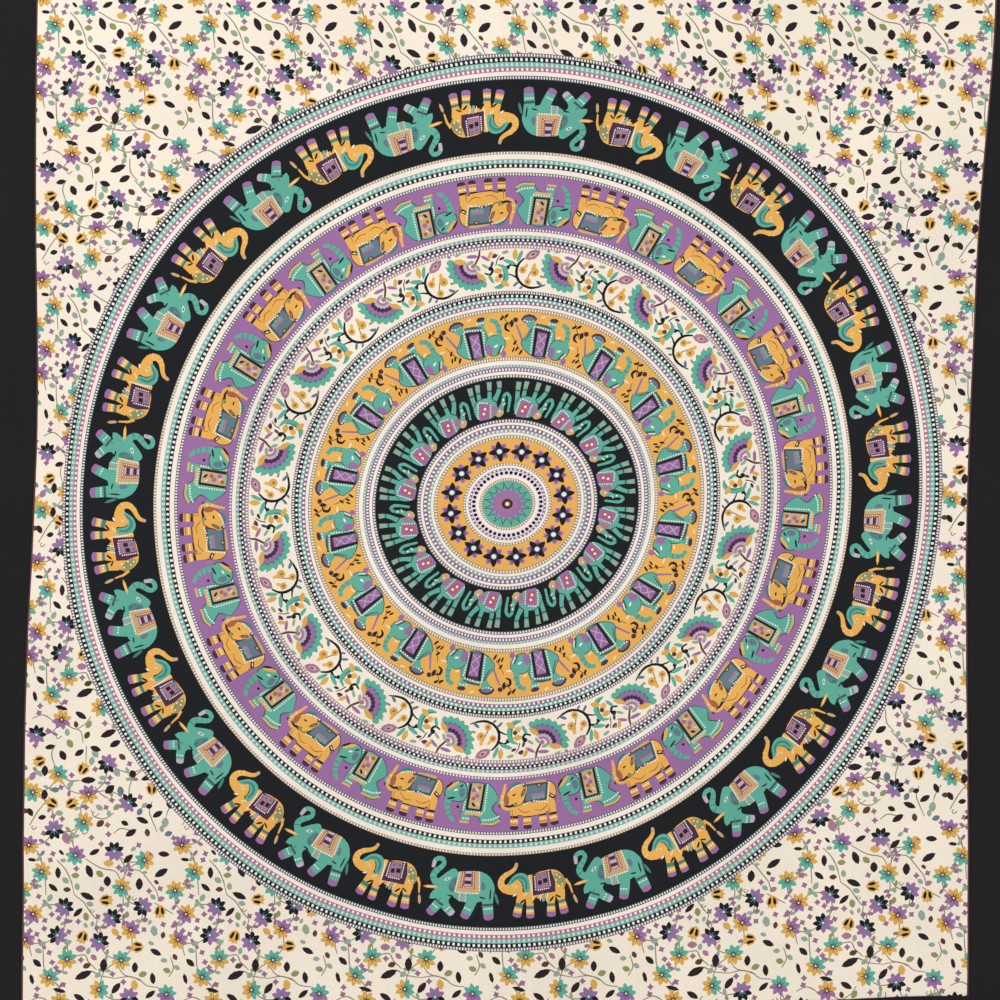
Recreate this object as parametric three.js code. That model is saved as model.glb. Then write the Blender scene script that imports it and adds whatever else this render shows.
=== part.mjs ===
// Printed cotton wall hanging with sewn-on black borders, a rod sleeve and a wooden hanging rod.
//
// Millimetres, +Z up. The origin is the middle of the rod's axis, which two hooks hold up.
// The printed side faces -Y and the wall is on the +Y side. The cloth hangs down from the rod.

import * as THREE from 'three';
import { mergeVertices } from 'three/addons/utils/BufferGeometryUtils.js';

// ---- Driving dimensions ----------------------------------------------------------------------

const CLOTH_WIDTH = 2134; // outer edge to outer edge, 84 inches
const CLOTH_HEIGHT = 2286; // top edge to bottom edge, 90 inches
const CLOTH_THICKNESS = 0.5;
const LAYER_GAP = 0.3; // air between two layers of cloth that lie on each other

const BORDER_WIDTH = 95; // seam line to outer edge
const SEAM_LAP = 10; // how far the printed panel runs on behind a border strip
const HEM_DEPTH = 25; // turned to the back along each outer edge

const THREAD_WIDTH = 0.6;
const THREAD_THICKNESS = 0.4;
const SEAM_THREAD_INSET = 3; // from a border strip's inner edge to its row of stitches
const HEM_THREAD_INSET = 4; // from a hem's inner fold to its row of stitches

const ROD_DIAMETER = 25;
const ROD_OVERHANG = 90; // rod end beyond each side of the cloth
const ROD_CHAMFER = 1.5;
const ROD_CLEARANCE = 0.6; // between the rod and the cloth layers before and behind it

const SLEEVE_SIDE_INSET = 12; // the sleeve stops short of each side of the cloth
const SLEEVE_TOP_INSET = 3; // the sleeve's upper edge below the cloth's top edge
const SLEEVE_UPPER_SLACK = 8.5; // from the top of the rod to the tunnel's upper seam
const SLEEVE_LOWER_SLACK = 17.5; // from the bottom of the rod to the tunnel's lower seam
const SLEEVE_FLANGE = 12; // sewn-down strip above and below the tunnel
const SLEEVE_BACK_FLAT = 6; // height of the stretch of the sleeve that lies flat on the wall

const CAP_WALL = 1.7; // round the socket, at the cap's neck
const CAP_BEAD_RISE = 3.5; // how far the cap swells past its neck
const CAP_LENGTH = 34;
const CAP_SOCKET_DEPTH = 20;
const CAP_CLEARANCE = 0.3; // between the rod and the socket, all round and at its floor
const CAP_END_FLAT = 16; // diameter of the cap's flat outer face

const ROUND_SEGMENTS = 32; // facets round the rod and the caps
const ARC_SEGMENTS = 4; // facets in each bend of the sleeve
const DOME_SEGMENTS = 6; // facets from a cap's widest part to its flat face

// ---- Worked-out places -----------------------------------------------------------------------

const ROD_RADIUS = ROD_DIAMETER / 2;
const HALF_WIDTH = CLOTH_WIDTH / 2;
const LAYER_STEP = CLOTH_THICKNESS + LAYER_GAP;

// Seams of the sleeve's tunnel, above and below the rod's axis.
const UPPER_PINCH_Z = ROD_RADIUS + SLEEVE_UPPER_SLACK;
const LOWER_PINCH_Z = -(ROD_RADIUS + SLEEVE_LOWER_SLACK);

const TOP_Z = UPPER_PINCH_Z + SLEEVE_FLANGE + SLEEVE_TOP_INSET;
const BOTTOM_Z = TOP_Z - CLOTH_HEIGHT;

// Front faces of the layers. The top and bottom strips lap over the side strips, and the side
// strips lap over the printed panel.
const END_STRIP_FRONT_Y = -(ROD_RADIUS + ROD_CLEARANCE + CLOTH_THICKNESS);
const SIDE_STRIP_FRONT_Y = END_STRIP_FRONT_Y + LAYER_STEP;
const PANEL_FRONT_Y = SIDE_STRIP_FRONT_Y + LAYER_STEP;

const PANEL_HALF_WIDTH = HALF_WIDTH - BORDER_WIDTH + SEAM_LAP;
const PANEL_TOP_Z = TOP_Z - BORDER_WIDTH + SEAM_LAP;
const PANEL_BOTTOM_Z = BOTTOM_Z + BORDER_WIDTH - SEAM_LAP;

// The sleeve lies level with the printed panel, or behind it where it reaches down past its edge.
const SLEEVE_BOTTOM_Z = LOWER_PINCH_Z - SLEEVE_FLANGE;
const SLEEVE_REACHES_PANEL = SLEEVE_BOTTOM_Z < PANEL_TOP_Z + LAYER_GAP;
const SLEEVE_FRONT_Y = PANEL_FRONT_Y + (SLEEVE_REACHES_PANEL ? LAYER_STEP : 0);

// ---- Materials -------------------------------------------------------------------------------

const cotton = (color) => new THREE.MeshStandardMaterial({ color, roughness: 0.9, metalness: 0 });
const wood = (color) => new THREE.MeshStandardMaterial({ color, roughness: 0.55, metalness: 0 });

const MATERIALS = {
  printedCotton: cotton(0xf2e6cf),
  blackCotton: cotton(0x29282a),
  thread: cotton(0x1d1c1e),
  rodWood: wood(0xb98a55),
  capWood: wood(0x6b4426),
};

// ---- Helpers ---------------------------------------------------------------------------------

// Shape x, y and the extrusion become world Y, Z and X.
const ALONG_X = new THREE.Matrix4().makeBasis(
  new THREE.Vector3(0, 1, 0),
  new THREE.Vector3(0, 0, 1),
  new THREE.Vector3(1, 0, 0),
);

function solid(geometry) {
  const bare = geometry.clone();
  bare.deleteAttribute('normal');
  bare.deleteAttribute('uv');
  return mergeVertices(bare, 1e-4);
}

function extrude(points, length) {
  const shape = new THREE.Shape(points.map(([a, b]) => new THREE.Vector2(a, b)));
  return solid(new THREE.ExtrudeGeometry(shape, { depth: length, bevelEnabled: false }));
}

// A profile of [y, z] points, run from x = -length / 2 to x = length / 2.
function extrudeAlongX(points, length) {
  return extrude(points, length).translate(0, 0, -length / 2).applyMatrix4(ALONG_X);
}

function box([x0, y0, z0], [x1, y1, z1]) {
  const geometry = new THREE.BoxGeometry(x1 - x0, y1 - y0, z1 - z0);
  return solid(geometry.translate((x0 + x1) / 2, (y0 + y1) / 2, (z0 + z1) / 2));
}

function node(name, geometry, material) {
  const mesh = new THREE.Mesh(geometry, material);
  mesh.name = name;
  return mesh;
}

// Points on a circle round the rod's axis, from one angle to another, in degrees.
function arc(radius, fromDegrees, toDegrees, steps) {
  return Array.from({ length: steps + 1 }, (_, i) => {
    const angle = THREE.MathUtils.degToRad(fromDegrees + ((toDegrees - fromDegrees) * i) / steps);
    return [radius * Math.cos(angle), radius * Math.sin(angle)];
  });
}

// The angle, in degrees, at which a tangent from the point [y, z] meets the circle on the wall side.
function tangentAngle([y, z], radius) {
  const reach = Math.acos(radius / Math.hypot(y, z));
  return THREE.MathUtils.radToDeg(Math.atan2(z, y) - Math.sign(z) * reach);
}

// The same open path, moved sideways to its left by a distance, with mitred corners.
function offsetPath(path, distance) {
  const left = ([ay, az], [by, bz]) => {
    const length = Math.hypot(by - ay, bz - az);
    return new THREE.Vector2(-(bz - az) / length, (by - ay) / length);
  };
  return path.map((point, i) => {
    const before = i > 0 ? left(path[i - 1], point) : left(point, path[i + 1]);
    const after = i < path.length - 1 ? left(point, path[i + 1]) : before;
    const mitre = before.clone().add(after).normalize();
    mitre.multiplyScalar(distance / mitre.dot(before));
    return [point[0] + mitre.x, point[1] + mitre.y];
  });
}

// ---- Cloth -----------------------------------------------------------------------------------

function printedPanel() {
  return box(
    [-PANEL_HALF_WIDTH, PANEL_FRONT_Y, PANEL_BOTTOM_Z],
    [PANEL_HALF_WIDTH, PANEL_FRONT_Y + CLOTH_THICKNESS, PANEL_TOP_Z],
  );
}

// Section of a border strip: [across, depth] points, with the inner edge at 0, the outer edge at
// BORDER_WIDTH and the hem turned to the back there.
function stripSection() {
  const t = CLOTH_THICKNESS;
  const hemFront = LAYER_STEP;
  return [
    [0, 0],
    [BORDER_WIDTH, 0],
    [BORDER_WIDTH, hemFront + t],
    [BORDER_WIDTH - HEM_DEPTH, hemFront + t],
    [BORDER_WIDTH - HEM_DEPTH, hemFront],
    [BORDER_WIDTH - t, hemFront],
    [BORDER_WIDTH - t, t],
    [0, t],
  ];
}

function sideStrip(side) {
  const innerX = HALF_WIDTH - BORDER_WIDTH;
  const section = stripSection().map(([across, depth]) => [side * (innerX + across), depth]);
  const strip = extrude(section, PANEL_TOP_Z - PANEL_BOTTOM_Z);
  return strip.translate(0, SIDE_STRIP_FRONT_Y, PANEL_BOTTOM_Z);
}

// up is 1 for the top strip and -1 for the bottom one.
function endStrip(up) {
  const innerZ = up > 0 ? TOP_Z - BORDER_WIDTH : BOTTOM_Z + BORDER_WIDTH;
  const section = stripSection().map(([across, depth]) => [depth, innerZ + up * across]);
  return extrudeAlongX(section, CLOTH_WIDTH).translate(0, END_STRIP_FRONT_Y, 0);
}

// ---- Rows of stitches, each a thin bar that lies on the front of its strip ---------------------

function sideThread(side, inset) {
  const x = side * (HALF_WIDTH - BORDER_WIDTH + inset);
  const backY = SIDE_STRIP_FRONT_Y - LAYER_GAP;
  const endZ = SEAM_LAP + LAYER_GAP;
  return box(
    [x - THREAD_WIDTH / 2, backY - THREAD_THICKNESS, PANEL_BOTTOM_Z + endZ],
    [x + THREAD_WIDTH / 2, backY, PANEL_TOP_Z - endZ],
  );
}

function endThread(up, inset) {
  const z = up > 0 ? TOP_Z - BORDER_WIDTH + inset : BOTTOM_Z + BORDER_WIDTH - inset;
  const backY = END_STRIP_FRONT_Y - LAYER_GAP;
  return box(
    [-HALF_WIDTH, backY - THREAD_THICKNESS, z - THREAD_WIDTH / 2],
    [HALF_WIDTH, backY, z + THREAD_WIDTH / 2],
  );
}

const HEM_ROW = BORDER_WIDTH - HEM_DEPTH + HEM_THREAD_INSET;

// ---- Rod sleeve ------------------------------------------------------------------------------

const SLEEVE_LENGTH = CLOTH_WIDTH - 2 * SLEEVE_SIDE_INSET;

// The sleeve is one strip of cloth. Its upper and lower halves are two solids, which meet in the
// flat stretch behind the rod, so that each has a simple section and the tunnel between them is open.
const SLEEVE_BACK_Y = ROD_RADIUS + ROD_CLEARANCE;
const SLEEVE_ARC_RADIUS = Math.hypot(SLEEVE_BACK_Y, SLEEVE_BACK_FLAT / 2);
const SLEEVE_FLAT_ANGLE = THREE.MathUtils.radToDeg(Math.atan2(SLEEVE_BACK_FLAT / 2, SLEEVE_BACK_Y));

// Inner side of one half, from its sewn edge round the rod to the middle of the back, as [y, z].
// up is 1 for the upper half and -1 for the lower one.
function sleeveHalfPath(up) {
  const pinch = [SLEEVE_FRONT_Y, up > 0 ? UPPER_PINCH_Z : LOWER_PINCH_Z];
  const leaves = tangentAngle(pinch, SLEEVE_ARC_RADIUS);
  return [
    [SLEEVE_FRONT_Y, pinch[1] + up * SLEEVE_FLANGE],
    pinch,
    ...arc(SLEEVE_ARC_RADIUS, leaves, up * SLEEVE_FLAT_ANGLE, ARC_SEGMENTS),
    [SLEEVE_BACK_Y, (up * LAYER_GAP) / 2],
  ];
}

function sleeveHalf(up) {
  const inner = sleeveHalfPath(up);
  const outer = offsetPath(inner, up * CLOTH_THICKNESS);
  return extrudeAlongX([...inner, ...outer.reverse()], SLEEVE_LENGTH);
}

function sleeveThread(z) {
  const frontY = SLEEVE_FRONT_Y + CLOTH_THICKNESS + LAYER_GAP;
  return box(
    [-SLEEVE_LENGTH / 2, frontY, z - THREAD_WIDTH / 2],
    [SLEEVE_LENGTH / 2, frontY + THREAD_THICKNESS, z + THREAD_WIDTH / 2],
  );
}

// ---- Rod and caps ----------------------------------------------------------------------------

const ROD_LENGTH = CLOTH_WIDTH + 2 * ROD_OVERHANG;

// A [radius, height] profile turned about an axis that points along X, or along -X if direction
// is -1.
function turned(profile, direction) {
  const points = profile.map(([radius, height]) => new THREE.Vector2(radius, height));
  const geometry = solid(new THREE.LatheGeometry(points, ROUND_SEGMENTS));
  return geometry.rotateZ((-direction * Math.PI) / 2);
}

function dowelRod() {
  const half = ROD_LENGTH / 2;
  const profile = [
    [0, -half],
    [ROD_RADIUS - ROD_CHAMFER, -half],
    [ROD_RADIUS, -half + ROD_CHAMFER],
    [ROD_RADIUS, half - ROD_CHAMFER],
    [ROD_RADIUS - ROD_CHAMFER, half],
    [0, half],
  ];
  return turned(profile, 1);
}

// A turned knob with a blind socket. Its height is measured outwards from its mouth.
function endCap(side) {
  const socketRadius = ROD_RADIUS + CAP_CLEARANCE;
  const neckRadius = socketRadius + CAP_WALL;
  const domeBase = CAP_SOCKET_DEPTH / 2;
  const domeHeight = CAP_LENGTH - domeBase;
  const domeRadius = neckRadius + CAP_BEAD_RISE - CAP_END_FLAT / 2;
  const dome = Array.from({ length: DOME_SEGMENTS + 1 }, (_, i) => {
    const angle = (i / DOME_SEGMENTS) * (Math.PI / 2);
    return [CAP_END_FLAT / 2 + domeRadius * Math.cos(angle), domeBase + domeHeight * Math.sin(angle)];
  });
  const profile = [
    [0, CAP_SOCKET_DEPTH],
    [socketRadius, CAP_SOCKET_DEPTH],
    [socketRadius, 0],
    [neckRadius, 0],
    [neckRadius, domeBase / 2],
    ...dome,
    [0, CAP_LENGTH],
  ];
  const mouthX = ROD_LENGTH / 2 + CAP_CLEARANCE - CAP_SOCKET_DEPTH;
  return turned(profile, side).translate(side * mouthX, 0, 0);
}

// ---- Assembly --------------------------------------------------------------------------------

const hanging = new THREE.Group();

const cloth = new THREE.Group();
cloth.add(node('printed_panel', printedPanel(), MATERIALS.printedCotton));
for (const [label, side] of [['left', -1], ['right', 1]]) {
  cloth.add(
    node(`border_${label}`, sideStrip(side), MATERIALS.blackCotton),
    node(`seam_thread_${label}`, sideThread(side, SEAM_THREAD_INSET), MATERIALS.thread),
    node(`hem_thread_${label}`, sideThread(side, HEM_ROW), MATERIALS.thread),
  );
}
for (const [label, up] of [['top', 1], ['bottom', -1]]) {
  cloth.add(
    node(`border_${label}`, endStrip(up), MATERIALS.blackCotton),
    node(`seam_thread_${label}`, endThread(up, SEAM_THREAD_INSET), MATERIALS.thread),
    node(`hem_thread_${label}`, endThread(up, HEM_ROW), MATERIALS.thread),
  );
}
cloth.add(
  node('rod_sleeve_upper', sleeveHalf(1), MATERIALS.blackCotton),
  node('rod_sleeve_lower', sleeveHalf(-1), MATERIALS.blackCotton),
  node('sleeve_thread_upper', sleeveThread(UPPER_PINCH_Z + SLEEVE_FLANGE / 2), MATERIALS.thread),
  node('sleeve_thread_lower', sleeveThread(LOWER_PINCH_Z - SLEEVE_FLANGE / 2), MATERIALS.thread),
);

const hanger = new THREE.Group();
hanger.add(
  node('dowel_rod', dowelRod(), MATERIALS.rodWood),
  node('end_cap_left', endCap(-1), MATERIALS.capWood),
  node('end_cap_right', endCap(1), MATERIALS.capWood),
);

hanging.add(cloth, hanger);

export default hanging;
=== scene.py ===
"""A printed cotton wall hanging: a round elephant and flower medallion on a flowered ground.

The cloth hangs from a wooden rod through a sleeve on its back. Everything is in metres in the
part's own frame: X along the rod, the printed side facing -Y, Z up, and the rod's axis at the
origin. The print is drawn in millimetres on the flat cloth, then carried by the way it hangs.
"""

import logging
import math
from dataclasses import dataclass
from enum import Enum
from typing import Callable, Iterable, Sequence

import bpy
import numpy as np
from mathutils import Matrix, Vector
from mathutils.bvhtree import BVHTree
from mathutils.geometry import delaunay_2d_cdt


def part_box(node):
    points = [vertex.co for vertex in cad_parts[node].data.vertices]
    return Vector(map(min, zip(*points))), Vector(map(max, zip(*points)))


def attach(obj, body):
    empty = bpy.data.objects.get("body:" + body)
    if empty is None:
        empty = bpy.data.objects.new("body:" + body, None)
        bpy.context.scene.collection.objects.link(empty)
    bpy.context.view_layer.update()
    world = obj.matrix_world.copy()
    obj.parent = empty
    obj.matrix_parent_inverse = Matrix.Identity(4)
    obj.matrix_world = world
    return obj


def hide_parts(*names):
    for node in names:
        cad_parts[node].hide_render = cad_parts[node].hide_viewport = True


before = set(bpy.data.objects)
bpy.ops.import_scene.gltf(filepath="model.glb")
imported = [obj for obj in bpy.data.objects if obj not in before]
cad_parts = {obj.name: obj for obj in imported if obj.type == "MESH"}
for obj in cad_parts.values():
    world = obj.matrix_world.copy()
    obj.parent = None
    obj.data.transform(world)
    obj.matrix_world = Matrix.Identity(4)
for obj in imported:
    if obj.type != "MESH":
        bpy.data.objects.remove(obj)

logging.basicConfig(level=logging.INFO, format="%(message)s")
LOG = logging.getLogger("wall_hanging")

Point = tuple[float, float]
Outline = list[Point]

SECTORS = 16
STITCH_SEED = 41

# A leaf wider than this, in millimetres, is drawn with more points.
WIDE_LEAF = 10
# Rows of dots are spread out by this share, and a dot's corners reach this share of its size.
DOT_SPREAD = 1.14
DOT_REACH = 0.8


# ---- Colours -------------------------------------------------------------------------------------


def linear(red: int, green: int, blue: int) -> tuple[float, float, float]:
    """Converts a display colour to the renderer's linear colour.

    Args:
        red: The red part, 0 to 255.
        green: The green part, 0 to 255.
        blue: The blue part, 0 to 255.

    Returns:
        The three parts, each from 0 to 1.
    """
    parts = []
    for value in (red, green, blue):
        share = value / 255
        parts.append(share / 12.92 if share <= 0.04045 else ((share + 0.055) / 1.055) ** 2.4)
    return tuple(parts)


class Dye(Enum):
    """The dyes of the print."""

    GROUND = linear(249, 236, 216)
    BLACK = linear(29, 30, 33)
    WHITE = linear(244, 240, 230)
    TEAL = linear(98, 175, 154)
    SEA = linear(70, 132, 122)
    SLATE = linear(104, 124, 136)
    STEEL = linear(72, 84, 92)
    PURPLE = linear(158, 112, 162)
    PLUM = linear(76, 48, 74)
    MAUVE = linear(168, 122, 148)
    LILAC = linear(196, 178, 196)
    YELLOW = linear(222, 172, 84)
    ORANGE = linear(238, 178, 88)
    RUST = linear(170, 102, 70)
    TAN = linear(205, 170, 126)
    CREAM = linear(246, 228, 196)
    OLIVE = linear(148, 148, 98)
    SAGE = linear(150, 170, 150)
    BROWN = linear(94, 64, 44)
    DUSK = linear(46, 33, 37)
    STEM = linear(142, 130, 112)
    PINK = linear(214, 168, 164)
    ROSE = linear(180, 96, 108)
    HEATHER = linear(152, 112, 138)


# ---- Drawing -------------------------------------------------------------------------------------


def rounded(points: Sequence[Point], steps: int = 2) -> Outline:
    """Runs a smooth closed line through some points.

    Args:
        points: The points, in order.
        steps: How many pieces each stretch is cut into.

    Returns:
        The closed line's points.
    """
    count = len(points)
    line = []
    for i in range(count):
        a, b, c, d = (points[(i + k - 1) % count] for k in range(4))
        for step in range(steps):
            t = step / steps
            line.append(_between(a, b, c, d, t))
    return line


def _between(a: Point, b: Point, c: Point, d: Point, t: float) -> Point:
    """Finds a point between b and c, at a share t, on a smooth line through a, b, c and d."""
    return tuple(
        0.5 * (2 * b[k] + (c[k] - a[k]) * t + (2 * a[k] - 5 * b[k] + 4 * c[k] - d[k]) * t * t
               + (3 * b[k] - a[k] - 3 * c[k] + d[k]) * t ** 3)
        for k in range(2)
    )


def smooth_path(points: Sequence[Point], steps: int = 3) -> Outline:
    """Runs a smooth open line through some points.

    Args:
        points: The points, in order.
        steps: How many pieces each stretch is cut into.

    Returns:
        The line's points.
    """
    if len(points) < 3:
        return list(points)
    padded = [points[0], *points, points[-1]]
    line = []
    for i in range(len(points) - 1):
        line += [_between(*padded[i:i + 4], step / steps) for step in range(steps)]
    return [*line, points[-1]]


@dataclass(frozen=True)
class Shape:
    """One printed shape.

    Attributes:
        dye: The colour it is printed in.
        points: The points that it is drawn from, in millimetres.
    """

    dye: Dye
    points: Sequence[Point]

    def outlines(self) -> Iterable[Outline]:
        """Gives the closed outlines to print."""
        yield list(self.points)


class Blob(Shape):
    """A shape with a smooth outline."""

    def outlines(self) -> Iterable[Outline]:
        """Gives its one smooth outline."""
        yield rounded(self.points)


@dataclass(frozen=True)
class Stroke(Shape):
    """A brush stroke.

    Attributes:
        widths: Its widths, spread evenly from its start to its end.
        tip: How far its end is drawn out, as a share of its last half width.
    """

    widths: Sequence[float]
    tip: float = 0.6

    def outlines(self) -> Iterable[Outline]:
        """Gives the outline round both sides of the stroke."""
        line = np.array(smooth_path(self.points))
        along = np.gradient(line, axis=0)
        along /= np.linalg.norm(along, axis=1, keepdims=True) + 1e-9
        spots = np.linspace(0, 1, len(line))
        half = np.interp(spots, np.linspace(0, 1, len(self.widths)), self.widths) / 2
        side = np.stack([-along[:, 1], along[:, 0]], axis=1) * half[:, None]
        tip = line[-1] + along[-1] * half[-1] * self.tip
        yield [tuple(p) for p in [*(line + side), tip, *(line - side)[::-1]]]


@dataclass(frozen=True)
class Leaf(Shape):
    """A pointed oval from its first point to its last.

    Attributes:
        width: Its width across the middle.
        blunt: How far it is filled out towards its ends, 0 to 1.
    """

    width: float
    blunt: float = 0.3

    def outlines(self) -> Iterable[Outline]:
        """Gives its outline, with more points on a wide leaf."""
        (ax, ay), (bx, by) = self.points[0], self.points[-1]
        length = math.hypot(bx - ax, by - ay)
        nx, ny = -(by - ay) / length, (bx - ax) / length
        shares = (0.2, 0.5, 0.8) if self.width > WIDE_LEAF else (0.27, 0.73)
        edge = [(t, self.width / 2 * math.sin(math.pi * t) ** (1 - 0.5 * self.blunt)) for t in shares]
        upper = [(ax + (bx - ax) * t + nx * h, ay + (by - ay) * t + ny * h) for t, h in edge]
        lower = [(ax + (bx - ax) * t - nx * h, ay + (by - ay) * t - ny * h) for t, h in edge]
        yield [(ax, ay), *lower, (bx, by), *upper[::-1]]


@dataclass(frozen=True)
class Disc(Shape):
    """A round spot about each of its points.

    Attributes:
        radius: The spots' radius.
        sides: How many sides each spot is drawn with.
    """

    radius: float
    sides: int = 10

    def outlines(self) -> Iterable[Outline]:
        """Gives one polygon for each spot."""
        for x, y in self.points:
            yield regular((x, y), self.radius, self.sides)


@dataclass(frozen=True)
class Dots(Shape):
    """A row of small dots along a path.

    Attributes:
        pitch: From one dot to the next.
        size: A dot's width.
    """

    pitch: float
    size: float

    def outlines(self) -> Iterable[Outline]:
        """Gives a small square, on its corner, for each dot."""
        line = np.array(smooth_path(self.points))
        steps = np.linalg.norm(np.diff(line, axis=0), axis=1)
        reach = np.concatenate([[0.0], np.cumsum(steps)])
        for spot in np.arange(0, reach[-1] + 1e-6, self.pitch * DOT_SPREAD):
            x = float(np.interp(spot, reach, line[:, 0]))
            y = float(np.interp(spot, reach, line[:, 1]))
            yield regular((x, y), self.size * DOT_REACH, 4)


def regular(centre: Point, radius: float, sides: int, turn: float = math.pi / 4) -> Outline:
    """Draws a regular polygon.

    Args:
        centre: Its middle.
        radius: From its middle to its corners.
        sides: How many sides it has.
        turn: The angle of its first corner.

    Returns:
        Its corners.
    """
    angles = [turn + 2 * math.pi * k / sides for k in range(sides)]
    return [(centre[0] + radius * math.cos(a), centre[1] + radius * math.sin(a)) for a in angles]


# A row of dots stops short of the limb's edges. Toes reach out by shares of the foot's half width.
BAND_INSET = 0.14
TOE_SIDE = 0.4
TOE_MIDDLE = 0.62
TOE_INSET = 0.07


def limb(dye: Dye, points: Sequence[Point], widths: Sequence[float],
         bands: Sequence[tuple[Dye, float, float]] = ()) -> list[Shape]:
    """Draws a leg or a trunk with coloured bands across it.

    Args:
        dye: Its main colour.
        points: Its middle line, from the body outwards.
        widths: Its widths, spread evenly along it.
        bands: Each band's colour and its start and end as shares of the length. A white band
            is a row of dots, and one that ends at 1 is a foot with round toes.

    Returns:
        The shapes, the limb first.
    """
    line = np.array(smooth_path(points, 4))
    along = np.gradient(line, axis=0)
    along /= np.linalg.norm(along, axis=1, keepdims=True)
    spots = np.linspace(0, 1, len(line))

    def across(share: float) -> tuple[np.ndarray, np.ndarray]:
        """Finds the limb's two edges at a share of its length."""
        middle = np.array([np.interp(share, spots, line[:, k]) for k in range(2)])
        way = np.array([np.interp(share, spots, along[:, k]) for k in range(2)])
        half = np.interp(share, np.linspace(0, 1, len(widths)), widths) / 2
        side = np.array([-way[1], way[0]]) * half
        return middle + side, middle - side

    shapes: list[Shape] = [Stroke(dye, points, widths, 0.0)]
    for band, start, end in bands:
        (a, b), (c, d) = across(start), across(end)
        if band is Dye.WHITE:
            row = [a * (1 - share) + b * share for share in (BAND_INSET, 1 - BAND_INSET)]
            shapes.append(Dots(band, [tuple(spot) for spot in row], 4.4, 2.5))
        elif end < 1:
            shapes.append(Shape(band, [tuple(a), tuple(b), tuple(d), tuple(c)]))
        else:
            out = along[-1] * np.linalg.norm(c - d) / 2
            toes = [d + out * TOE_SIDE + (c - d) * TOE_INSET, (c + d) / 2 + out * TOE_MIDDLE,
                    c + out * TOE_SIDE + (d - c) * TOE_INSET]
            shapes.append(Shape(band, [tuple(a), tuple(b), tuple(d), *map(tuple, toes), tuple(c)]))
    return shapes


def edged(dye: Dye, blob: Blob, margin: float = 1.7) -> list[Shape]:
    """Puts a line round a blob.

    Args:
        dye: The line's colour.
        blob: The blob.
        margin: The line's width.

    Returns:
        The line's shape, then the blob.
    """
    spots = np.array(blob.points)
    middle = spots.mean(axis=0)
    away = spots - middle
    away *= 1 + margin / np.linalg.norm(away, axis=1, keepdims=True)
    return [Blob(dye, [tuple(spot) for spot in middle + away]), blob]


def leaves(dye: Dye, *spots: tuple[float, float, float, float, float]) -> list[Shape]:
    """Draws leaves of one colour, each given as its two ends and its width."""
    return [Leaf(dye, [(ax, ay), (bx, by)], width) for ax, ay, bx, by, width in spots]


def beads(dye: Dye, pitch: float, size: float, *paths: Sequence[Point]) -> list[Shape]:
    """Draws rows of dots of one colour and size."""
    return [Dots(dye, path, pitch, size) for path in paths]


def strokes(dye: Dye, widths: Sequence[float], *paths: Sequence[Point]) -> list[Shape]:
    """Draws brush strokes of one colour and width."""
    return [Stroke(dye, path, widths) for path in paths]


def patches(dye: Dye, *outlines: Sequence[Point]) -> list[Shape]:
    """Draws straight-sided patches of one colour."""
    return [Shape(dye, outline) for outline in outlines]


# ---- Elephants -----------------------------------------------------------------------------------
# Each stands upright in millimetres: x to the right and y up, with its feet low.

D = Dye

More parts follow.
